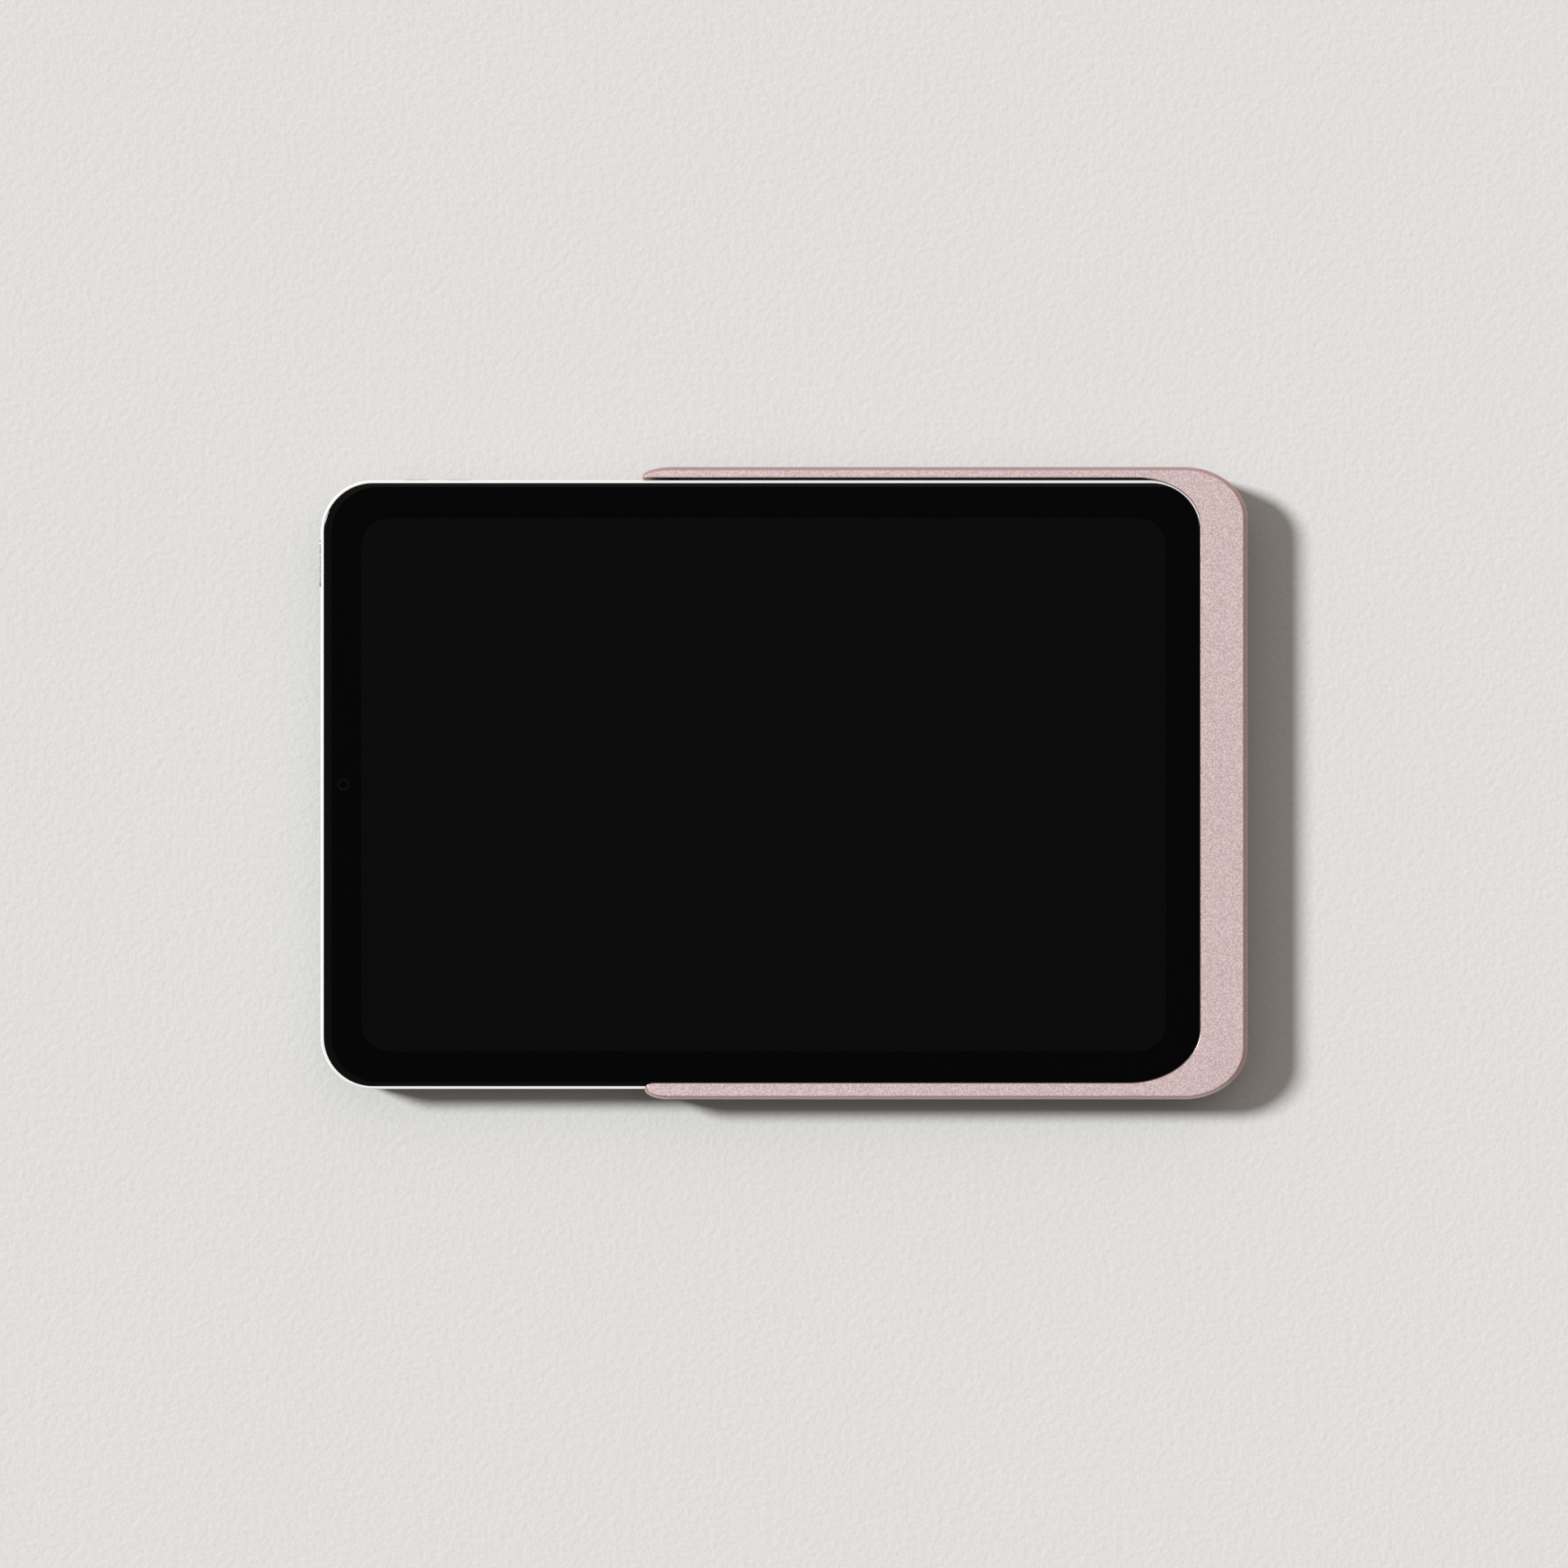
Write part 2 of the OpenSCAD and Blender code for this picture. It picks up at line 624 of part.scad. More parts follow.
module sleeve_cover() color("rosybrown") difference() {
    translate([cover_mid, 0, 0]) plate(cover_len, cover_w, cover_r, pad_proud, cover_t);
    translate([dock_x, 0, -1]) cylinder(r = dock_r, h = 1 + dock_floor);
    translate([dock_x, 0, -1]) cylinder(r = dock_core_r, h = 5);
    for (p = cover_screw_places) translate([p.x, p.y, 0]) {
        cylinder(r = cover_screw_r + 0.1, h = 3);
        translate([0, 0, pad_proud]) cylinder(r1 = cover_head_r + 0.05, r2 = cover_screw_r + 0.05, h = 0.75);
        translate([0, 0, pad_proud - 1]) cylinder(r = cover_head_r + 0.05, h = 1 + eps);
    }
    for (p = pad_places) translate([p.x, p.y, -1])
        linear_extrude(1 + pad_proud + pad_sunk) pill(pad_l + 0.1, pad_w + 0.1);
}

// Countersunk screw with a star drive, its head at the bottom
module cover_screw() difference() {
    union() {
        cylinder(r1 = cover_head_r - 0.05, r2 = cover_screw_r - 0.05, h = 0.7);
        cylinder(r = cover_screw_r - 0.02, h = 2.6);
    }
    for (a = [0:60:120]) rotate(a) translate([-0.75, -0.16, -1]) cube([1.5, 0.32, 1.35]);
}

module cover_screws() color("silver")
    for (p = cover_screw_places) translate([p.x, p.y, pad_proud + 0.02]) cover_screw();

module floor_liner() color("dimgray") {
    west = sleeve_west + 2.5;
    east = tab_x + hl - 2;
    translate([(west + east) / 2, 0, 0]) plate(east - west, 126, 8, tray_z, 0.25);
}

module rail_liners() color("dimgray") rail_strips(0.05);

module usb_plug() color("silver") translate([0, tab_y, 0]) {
    tip = tab_x + hl - plug_reach;
    difference() {
        pill_along_x(tip, block_west + 4.1 - tip, usb_l, usb_h, plug_z);
        box([tip - 1, -3.5, plug_z - 0.55], [6.2, 7, 1.1]);
    }
}

module plug_carrier() color("black") difference() {
    union() {
        box([block_west + 0.1, 0.1 - block_w / 2, skin_z + 0.1], [3.9, block_w - 0.2, carrier_h]);
        translate([0, tab_y, 0]) pill_along_x(block_west - 1.05, 1.2, nose_l, nose_h, plug_z);
    }
    translate([0, tab_y, 0]) pill_along_x(block_west - 3, 10, usb_l + 0.04, usb_h + 0.04, plug_z);
}

module charge_board() color("darkgreen") {
    box([charge_x, -12, skin_z], [0.8, 24, 5.8]);
    for (y = [-8, 5]) box([charge_x + 0.8 - eps, y, 5.6], [0.35, 4, 2.4]);
}

module charge_flex() color("darkorange") {
    start = dock_x + insert_r + 0.1;
    end = charge_x + 0.97;
    box([start, -2.8, 1.7], [end - start, 5.6, 0.15]);
    box([end - 0.15, -2.8, 1.7], [0.15, 5.6, 3.4]);
}

// ---------- Sleeve: dock interface ----------

module dock_insert() color("black") translate([dock_x, 0, 0]) difference() {
    translate([0, 0, dock_floor]) cylinder(r = insert_r, h = 1.4);
    for (y = contact_places) translate([0, y, 0]) cylinder(r = contact_r + 0.02, h = 5);
}

module dock_contacts() color("gold") for (y = contact_places)
    translate([dock_x, y, dock_floor - 0.02]) cylinder(r = contact_r, h = 1.5);

module dock_ring() color("silver") translate([dock_x, 0, 0]) difference() {
    translate([0, 0, dock_floor]) cylinder(r = dock_core_r - 0.05, h = 0.3);
    translate([0, 0, -1]) cylinder(r = insert_r + 0.05, h = 5);
}

module dock_magnets() color("lightgray") translate([dock_x, 0, dock_floor + 0.32])
    for (a = [22.5:45:359]) rotate(a) translate([magnet_ring_r, 0, 0]) cylinder(r = magnet_r, h = 1.2);

module rear_pads() color("gray") for (p = pad_places) translate([p.x, p.y, 0]) {
    linear_extrude(0.2) pill(pad_l - 0.4, pad_w - 0.4);
    translate([0, 0, 0.2]) linear_extrude(pad_proud + pad_sunk - 0.2) pill(pad_l, pad_w);
}

// ---------- One node at a time ----------

rear_housing();
cover_glass();
glass_gasket();
display_panel();
display_shield();
display_flex();
front_camera();
light_sensor();
sensor_flex();
camera_ring();
camera_window();
camera_module();
camera_lens();
flash_lens();
flash_board();
microphones();
battery_cell_a();
battery_cell_b();
battery_board();
battery_adhesive();
logic_board();
board_chips();
shield_cans();
board_screws();
speaker_nw();
speaker_sw();
speaker_ne();
speaker_se();
speaker_cones();
speaker_meshes();
usb_socket();
socket_flex();
power_button();
power_switch();
volume_up_button();
volume_down_button();
volume_switches();
wifi_antennas();
cover_magnets();
stylus_coil();
sleeve_shell();
sleeve_cover();
cover_screws();
floor_liner();
rail_liners();
usb_plug();
plug_carrier();
charge_board();
charge_flex();
dock_insert();
dock_contacts();
dock_ring();
dock_magnets();
rear_pads();
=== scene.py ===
"""Looks of a small tablet computer seated in a slide-on rose aluminium sleeve."""

import math

import bpy
from mathutils import Matrix, Vector


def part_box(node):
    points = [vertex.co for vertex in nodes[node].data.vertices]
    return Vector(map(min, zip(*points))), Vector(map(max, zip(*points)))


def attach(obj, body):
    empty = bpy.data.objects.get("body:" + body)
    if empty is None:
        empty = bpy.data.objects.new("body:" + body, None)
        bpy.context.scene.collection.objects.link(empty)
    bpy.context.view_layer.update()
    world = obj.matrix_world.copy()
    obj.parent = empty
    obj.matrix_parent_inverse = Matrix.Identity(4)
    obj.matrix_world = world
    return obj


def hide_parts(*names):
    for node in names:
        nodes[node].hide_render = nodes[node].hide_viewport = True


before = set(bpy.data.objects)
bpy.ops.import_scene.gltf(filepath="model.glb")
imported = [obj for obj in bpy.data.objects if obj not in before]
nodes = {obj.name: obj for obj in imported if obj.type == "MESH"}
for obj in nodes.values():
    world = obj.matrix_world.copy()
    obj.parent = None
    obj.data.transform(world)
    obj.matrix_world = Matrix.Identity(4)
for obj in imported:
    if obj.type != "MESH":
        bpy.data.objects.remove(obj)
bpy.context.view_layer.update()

MM = 0.001
SHARP_ANGLE = math.radians(35)
BEVELLED_ANGLE = math.radians(40)
WELD_DISTANCE = 1e-7


# ---------- Places, taken from the frame ----------

house_low, house_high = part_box("rear_housing")
glass_low, glass_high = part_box("cover_glass")
screen_low, screen_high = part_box("display_panel")
shell_low, shell_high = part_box("sleeve_shell")
cover_low, cover_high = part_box("sleeve_cover")
ring_low, ring_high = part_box("camera_ring")
window_low, window_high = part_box("camera_window")
lens_low, lens_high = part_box("camera_lens")
flash_low, flash_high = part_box("flash_lens")
plug_low, plug_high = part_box("usb_plug")
dock_low, dock_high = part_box("dock_ring")
front_low, front_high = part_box("front_camera")


def middle(low, high):
    """Centre of a box."""
    return (low + high) / 2


house_mid = middle(house_low, house_high)
camera_mid = middle(ring_low, ring_high)
flash_mid = middle(flash_low, flash_high)
plug_mid = middle(plug_low, plug_high)
dock_mid = middle(dock_low, dock_high)

# Housing
HOUSE_R = 11.5 * MM
RIM_W = glass_low.x - house_low.x
WALL = 1.6 * MM
FLOOR_T = 0.8 * MM
BACK_ROUND = 0.9 * MM
FRONT_ROUND = 0.2 * MM
SEAT_Z = glass_low.z - 0.1 * MM
HOLE_DEPTH = 2.1 * MM
PORT_L, PORT_H = 8.65 * MM, 2.8 * MM
GRILLE_Y = 26 * MM
GRILLE_COUNT = 8
GRILLE_PITCH = 2.2 * MM
GRILLE_R = 0.75 * MM
CAMERA_HOLE_R = 5.25 * MM
FLASH_HOLE_R = 1.75 * MM
MIC_X = camera_mid.x + 6.95 * MM
MIC_R = 0.4 * MM
BOSS_R = 1.8 * MM
BOSS_BORE_R = 0.72 * MM
BOARD_SCREW_HEAD_R = 1.3 * MM

# Keys: a cap on a wider retaining flange
KEYS = ("power_button", "volume_up_button", "volume_down_button")
KEY_GAP = 0.1 * MM
KEY_H = 2.4 * MM
KEY_LIP = 0.7 * MM
KEY_FLANGE = 0.4 * MM
KEY_ROUND = 0.2 * MM

# Sleeve
WEST, EAST = shell_low.x, shell_high.x
HALF_W = shell_high.y
TOP = shell_high.z
FOOT = shell_low.z
BEVEL = Vector((1.05, 0.8)) * MM
BEVEL_H = 0.8 * MM
EAST_CORNER = Vector((14.1, 11.5)) * MM
NORTH_TIP = Vector((6.9, 2.2)) * MM
SOUTH_TIP = Vector((5.4, 2.2)) * MM
SOUTH_START = WEST + 0.5 * MM
LIP_NORTH_CORNER = Vector((14.3, 10.5)) * MM
LIP_SOUTH_CORNER = Vector((16.0, 12.0)) * MM
LIP_TIP = Vector((2.1, 1.5)) * MM
CLEAR = 0.2 * MM
WALL_NORTH = house_high.y + 0.55 * MM
WALL_SOUTH = house_low.y - CLEAR
LIP_Z = glass_high.z + 0.1 * MM
LIP_EAST = EAST - 10.45 * MM
LIP_SOUTH = -66.35 * MM
SKIN_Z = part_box("floor_liner")[0].z
OPEN_X = WEST - 9 * MM


# ---------- Mesh helpers ----------

def arc(centre, radii, start, end, steps):
    """Points on part of an ellipse; the angles are in degrees."""
    angles = [math.radians(start + (end - start) * i / steps) for i in range(steps + 1)]
    return [(centre[0] + radii[0] * math.cos(a), centre[1] + radii[1] * math.sin(a)) for a in angles]


def round_rect(low, high, radius, inset=0.0, steps=20):
    """Outline of a rectangle with round corners, pulled in by inset."""
    r = radius - inset
    x0, y0, x1, y1 = low[0] + radius, low[1] + radius, high[0] - radius, high[1] - radius
    corners = [((x1, y1), 0), ((x0, y1), 90), ((x0, y0), 180), ((x1, y0), 270)]
    return [p for c, a in corners for p in arc(c, (r, r), a, a + 90, steps)]


def pill(length, width, inset=0.0, steps=14):
    """Outline of a bar with half-round ends, centred, pulled in by inset."""
    r = width / 2 - inset
    x = (length - width) / 2
    return arc((x, 0), (r, r), -90, 90, steps) + arc((-x, 0), (r, r), 90, 270, steps)


def circle(radius, steps=48):
    """Outline of a circle round the origin."""
    return arc((0, 0), (radius, radius), 0, 360 * (1 - 1 / steps), steps - 1)


def edge_levels(bottom, top, low_round, high_round, steps=5):
    """Heights and insets from bottom to top, with both edges rounded."""
    turns = [math.radians(90 * i / steps) for i in range(steps + 1)]
    curve = [(1 - math.sin(a), 1 - math.cos(a)) for a in turns]
    low, high = [(bottom, 0.0)], [(top, 0.0)]
    if low_round:
        low = [(bottom + low_round * away, low_round * inset) for away, inset in reversed(curve)]
    if high_round:
        high = [(top - high_round * away, high_round * inset) for away, inset in curve]
    return low + high


def mesh_object(name, points, faces, place=None):
    """A new object from points and faces, moved into place."""
    mesh = bpy.data.meshes.new(name)
    mesh.from_pydata(points, [], faces)
    if place is not None:
        mesh.transform(place)
    mesh.validate()
    piece = bpy.data.objects.new(name, mesh)
    bpy.context.scene.collection.objects.link(piece)
    return piece


def loft(name, rings, place=None):
    """A closed solid through rings of equal length, each (outline, height)."""
    count = len(rings[0][0])
    points = [(x, y, z) for outline, z in rings for x, y in outline]
    faces = [tuple(reversed(range(count)))]
    for k in range(len(rings) - 1):
        a, b = k * count, (k + 1) * count
        faces += [(a + i, a + (i + 1) % count, b + (i + 1) % count, b + i) for i in range(count)]
    faces.append(tuple(range((len(rings) - 1) * count, len(rings) * count)))
    return mesh_object(name, points, faces, place)


def lathe(name, profile, centre, steps=72):
    """A closed profile of (radius, height) turned about the vertical axis through centre."""
    count = len(profile)
    points, faces = [], []
    for k in range(steps):
        a = 2 * math.pi * k / steps
        points += [(centre.x + r * math.cos(a), centre.y + r * math.sin(a), z) for r, z in profile]
    for k in range(steps):
        here, there = k * count, (k + 1) % steps * count
        for i in range(count):
            j = (i + 1) % count
            faces.append((here + i, there + i, there + j, here + j))
    piece = mesh_object(name, points, faces)
    weld = piece.modifiers.new("weld", "WELD")
    weld.merge_threshold = WELD_DISTANCE
    settle(piece)
    return piece


def settle(piece):
    """Makes a piece's modifiers part of its mesh."""
    graph = bpy.context.evaluated_depsgraph_get()
    mesh = bpy.data.meshes.new_from_object(piece.evaluated_get(graph))
    piece.modifiers.clear()
    old, piece.data = piece.data, mesh
    bpy.data.meshes.remove(old)


def combine(piece, others, operation):
    """Cuts other objects out of the piece, or joins them to it, and removes them."""
    for other in others:
        step = piece.modifiers.new("step", "BOOLEAN")
        step.operation = operation
        step.solver = "EXACT"
        step.object = other
    settle(piece)
    for other in others:
        bpy.data.objects.remove(other)


def carve(piece, cutters):
    """Cuts every cutter out of the piece."""
    combine(piece, cutters, "DIFFERENCE")


def smooth(piece):
    """Smooth shading with sharp edges kept and flat faces kept flat."""
    piece.data.shade_smooth()
    piece.data.set_sharp_from_angle(angle=SHARP_ANGLE)
    weighted = piece.modifiers.new("flat faces", "WEIGHTED_NORMAL")
    weighted.keep_sharp = True


def bevel(piece, width, segments=2):
    """Rounds the sharp edges of a CAD node without touching its mesh."""
    rounding = piece.modifiers.new("edges", "BEVEL")
    rounding.width = width
    rounding.segments = segments
    rounding.limit_method = "ANGLE"
    rounding.angle_limit = BEVELLED_ANGLE
    rounding.harden_normals = False


def post(x, y, radius, bottom, top, steps):
    """An upright cylinder, joined on as a boss or cut out as a bore."""
    outline = circle(radius, steps)
    return loft("post", [(outline, bottom), (outline, top)], Matrix.Translation((x, y, 0)))


def block(low, high):
    """A plain box, used only as a cutter."""
    outline = [(low[0], low[1]), (high[0], low[1]), (high[0], high[1]), (low[0], high[1])]
    return loft("cutter", [(outline, low[2]), (outline, high[2])])


def merge(pieces):
    """Joins pieces that don't touch each other into the first one."""
    first = pieces[0]
    points, faces = [], []
    for piece in pieces:
        start = len(points)
        points += [tuple(v.co) for v in piece.data.vertices]
        faces += [tuple(start + i for i in f.vertices) for f in piece.data.polygons]
    joined = mesh_object(first.name, points, faces)
    for piece in pieces:
        bpy.data.objects.remove(piece)
    return joined


# Turns that point the Z axis west, east, north or down
TO_WEST = Matrix(((0, 0, -1, 0), (-1, 0, 0, 0), (0, 1, 0, 0), (0, 0, 0, 1)))
TO_EAST = Matrix(((0, 0, 1, 0), (1, 0, 0, 0), (0, 1, 0, 0), (0, 0, 0, 1)))
TO_NORTH = Matrix(((-1, 0, 0, 0), (0, 0, 1, 0), (0, 1, 0, 0), (0, 0, 0, 1)))
TO_FLOOR = Matrix(((1, 0, 0, 0), (0, -1, 0, 0), (0, 0, -1, 0), (0, 0, 0, 1)))


def hole(outline_of, depth, flare, place):
    """Cutter along its own Z axis: starts inside at -depth, flares at the surface, which is at 0."""
    narrow, wide = outline_of(0.0), outline_of(-2 * flare)
    return loft("cutter", [(narrow, -depth), (narrow, -flare), (wide, flare), (wide, 1 * MM)], place)


# ---------- Material helpers ----------

NOISE_REACH = (0.3, 0.7)


def material(name, color, roughness, metallic=0.0, **sockets):
    """A Principled material; sockets are other inputs by name, with spaces as underscores."""
    made = bpy.data.materials.new(name)
    made.use_nodes = True
    made.diffuse_color = (*color, 1)
    shader = made.node_tree.nodes["Principled BSDF"]
    shader.inputs["Base Color"].default_value = (*color, 1)
    shader.inputs["Roughness"].default_value = roughness
    shader.inputs["Metallic"].default_value = metallic
    for socket, value in sockets.items():
        shader.inputs[socket.replace("_", " ")].default_value = value
    return made


def add(made, kind, inputs=None, **settings):
    """Adds a shader node; an input value that is a socket is linked."""
    node = made.node_tree.nodes.new(kind)
    for key, value in settings.items():
        setattr(node, key, value)
    for key, value in (inputs or {}).items():
        if isinstance(value, bpy.types.NodeSocket):
            made.node_tree.links.new(value, node.inputs[key])
        else:
            node.inputs[key].default_value = value
    return node


def principled(made, socket):
    """One input of the material's Principled shader."""
    return made.node_tree.nodes["Principled BSDF"].inputs[socket]


def link(made, source, socket):
    """Feeds a value into the Principled shader."""
    made.node_tree.links.new(source, principled(made, socket))


def place_of(made):
    """The object's own coordinates, in metres."""
    return add(made, "ShaderNodeTexCoord").outputs["Object"]


def noise(made, size, detail=2.0, rough=0.5, stretch=None):
    """Noise whose blobs are about size metres across."""
    where = place_of(made)
    if stretch:
        where = add(made, "ShaderNodeMapping", {"Vector": where, "Scale": stretch}).outputs["Vector"]
    inputs = {"Vector": where, "Scale": 1 / size, "Detail": detail, "Roughness": rough}
    return add(made, "ShaderNodeTexNoise", inputs).outputs["Fac"]


def spread(made, value, low, high, new_low, new_high):
    """Maps a value from one range to another."""
    inputs = {"Value": value, "From Min": low, "From Max": high, "To Min": new_low, "To Max": new_high}
    return add(made, "ShaderNodeMapRange", inputs).outputs["Result"]


def blend_colors(made, factor, first, second, mode="MIX"):
    """Mixes two colours by a factor."""
    node = add(made, "ShaderNodeMix", data_type="RGBA", blend_type=mode)
    for key, value in ((0, factor), (6, first), (7, second)):
        if isinstance(value, bpy.types.NodeSocket):
            made.node_tree.links.new(value, node.inputs[key])
        elif key:
            node.inputs[key].default_value = (*value, 1)
        else:
            node.inputs[key].default_value = value
    return node.outputs[2]


def within(made, distance, low, high):
    """1 where a distance is below low, falling to 0 at high."""
    return spread(made, distance, low, high, 1.0, 0.0)


def vary(made, value, low, high):
    """Spreads a noise's usual reach over a range."""
    return spread(made, value, *NOISE_REACH, low, high)


def vary_roughness(made, value, roughness, amount):
    """Roughness that follows a noise to either side of its mean."""
    link(made, vary(made, value, roughness - amount, roughness + amount), "Roughness")


def math_node(made, operation, first, second=0.0):
    """One Math node."""
    return add(made, "ShaderNodeMath", {0: first, 1: second}, operation=operation).outputs[0]


def bump(made, height, distance, strength=1.0):
    """Adds a bump of the given height in metres."""
    node = add(made, "ShaderNodeBump", {"Height": height, "Distance": distance, "Strength": strength})
    old = principled(made, "Normal")
    if old.links:
        made.node_tree.links.new(old.links[0].from_socket, node.inputs["Normal"])
    link(made, node.outputs["Normal"], "Normal")


def scaled(color, factor):
    """A colour made lighter or darker."""
    return tuple(c * factor for c in color)


def speckled(made, color, grain, amount):
    """Base colour with fine grain and faint larger clouds."""
    cloud, cloud_depth = 18 * MM, 0.03
    fine = spread(made, noise(made, grain, detail=1.0), 0.38, 0.62, 0.0, 1.0)
    tone = blend_colors(made, fine, scaled(color, 1 - amount), scaled(color, 1 + amount))
    wide = vary(made, noise(made, cloud, detail=3.0), 0.0, 1.0)
    light = blend_colors(made, wide, scaled((1, 1, 1), 1 - cloud_depth), (1, 1, 1))
    link(made, blend_colors(made, 1.0, tone, light, "MULTIPLY"), "Base Color")


def blasted_aluminium(name, color, roughness, metallic, grain, amount, depth):
    """Bead-blasted and anodised aluminium."""
    made = material(name, color, roughness, metallic)
    speckled(made, color, grain, amount)
    vary_roughness(made, noise(made, grain * 2), roughness, 0.06)
    bump(made, noise(made, grain, detail=3.0, rough=0.6), depth)
    return made


def moulded(name, color, roughness, grain=0.35 * MM, depth=0.012 * MM, **sockets):
    """Moulded plastic or rubber with a fine texture."""
    made = material(name, color, roughness, **sockets)
    speckled(made, color, grain * 3, 0.06)
    vary_roughness(made, noise(made, grain * 6), roughness, 0.05)
    bump(made, noise(made, grain, detail=2.0), depth)
    return made


def brushed(name, color, roughness, along=(1, 14, 14)):
    """Metal with fine lines along one axis."""
    made = material(name, color, roughness, 1.0)
    lines = noise(made, 1.2 * MM, detail=4.0, rough=0.7, stretch=along)
    link(made, blend_colors(made, vary(made, lines, 0.0, 1.0), scaled(color, 0.88), color), "Base Color")
    vary_roughness(made, lines, roughness, 0.08)
    bump(made, lines, 0.004 * MM)
    return made


def in_plan(made):
    """The object's own coordinates, flattened onto the floor."""
    inputs = {0: place_of(made), 1: (1, 1, 0)}
    return add(made, "ShaderNodeVectorMath", inputs, operation="MULTIPLY").outputs[0]


def rounded_distance(made, low, high, radius):
    """Signed distance to a rectangle with round corners, negative inside."""
    mid, half = middle(low, high), (high - low) / 2
    inputs = {0: in_plan(made), 1: (mid.x, mid.y, 0)}
    moved = add(made, "ShaderNodeVectorMath", inputs, operation="SUBTRACT")
    folded = add(made, "ShaderNodeVectorMath", {0: moved.outputs[0]}, operation="ABSOLUTE")
    inputs = {0: folded.outputs[0], 1: (half.x - radius, half.y - radius, 0)}
    over = add(made, "ShaderNodeVectorMath", inputs, operation="SUBTRACT")
    outside = add(made, "ShaderNodeVectorMath", {0: over.outputs[0], 1: (0, 0, 0)}, operation="MAXIMUM")
    length = add(made, "ShaderNodeVectorMath", {0: outside.outputs[0]}, operation="LENGTH")
    parts = add(made, "ShaderNodeSeparateXYZ", {0: over.outputs[0]})
    inside = math_node(made, "MAXIMUM", parts.outputs["X"], parts.outputs["Y"])
    inside = math_node(made, "MINIMUM", inside, 0.0)
    total = math_node(made, "ADD", length.outputs["Value"], inside)
    return math_node(made, "SUBTRACT", total, radius)


def spot_distance(made, centre):
    """Distance in plan from a point."""
    inputs = {0: in_plan(made), 1: (centre.x, centre.y, 0)}
    return add(made, "ShaderNodeVectorMath", inputs, operation="DISTANCE").outputs["Value"]


# ---------- Materials ----------

ROSE = (0.775, 0.620, 0.625)
SILVER = (0.985, 0.98, 0.975)
KEY_GREY = (0.87, 0.845, 0.855)

sleeve_metal = blasted_aluminium("sleeve_aluminium", ROSE, 0.64, 0.5, 0.3 * MM, 0.18, 0.010 * MM)
# The bevel and the lip's cut inner edge shine more than the blasted faces; the inner edge's brighter, warmer
# colour is a painted warm reflection
bevel_metal = brushed("sleeve_bevel", (0.77, 0.54, 0.53), 0.32, along=(2, 2, 6))
edge_metal_with_painted_reflection = brushed("sleeve_edge_painted_reflection", (0.93, 0.66, 0.55), 0.3, along=(2, 2, 6))
# The sides have the sheen that blasted metal has at a low angle
sleeve_side = blasted_aluminium("sleeve_side", scaled(ROSE, 0.87), 0.45, 0.9, 0.42 * MM, 0.1, 0.004 * MM)
tablet_metal = blasted_aluminium("tablet_aluminium", SILVER, 0.58, 0.0, 0.12 * MM, 0.015, 0.003 * MM)
principled(tablet_metal, "IOR").default_value = 3.0
tablet_side = blasted_aluminium("tablet_side", SILVER, 0.4, 0.8, 0.12 * MM, 0.03, 0.003 * MM)
key_metal = blasted_aluminium("key_aluminium", KEY_GREY, 0.2, 1.0, 0.12 * MM, 0.02, 0.002 * MM)
ring_metal = blasted_aluminium("camera_ring", (0.86, 0.85, 0.83), 0.28, 1.0, 0.1 * MM, 0.02, 0.001 * MM)
black_plastic = moulded("black_moulding", (0.022, 0.022, 0.024), 0.55)
seal_rubber = moulded("seal", (0.03, 0.03, 0.03), 0.8)
pad_rubber = moulded("pad_rubber", (0.33, 0.29, 0.285), 0.78, depth=0.02 * MM)
liner_rubber = moulded("liner", (0.16, 0.145, 0.145), 0.85, grain=0.25 * MM, depth=0.02 * MM)
cone_rubber = moulded("speaker_cone", (0.10, 0.10, 0.11), 0.7)
white_tape = moulded("adhesive", (0.82, 0.82, 0.80), 0.7)
flash_plastic = moulded("flash_lens", (0.90, 0.86, 0.70), 0.3, depth=0.006 * MM, Subsurface_Weight=0.3)
chip_plastic = moulded("chip", (0.028, 0.028, 0.03), 0.5)
steel = brushed("sheet_steel", (0.66, 0.66, 0.67), 0.32)
screw_steel = brushed("screw_steel", (0.60, 0.57, 0.56), 0.35, along=(4, 4, 1))
magnet_metal = brushed("magnet", (0.74, 0.73, 0.71), 0.22, along=(3, 3, 1))
gold = brushed("gold_contact", (0.95, 0.72, 0.36), 0.24, along=(2, 2, 1))
copper = brushed("copper", (0.78, 0.42, 0.26), 0.38, along=(1, 30, 30))


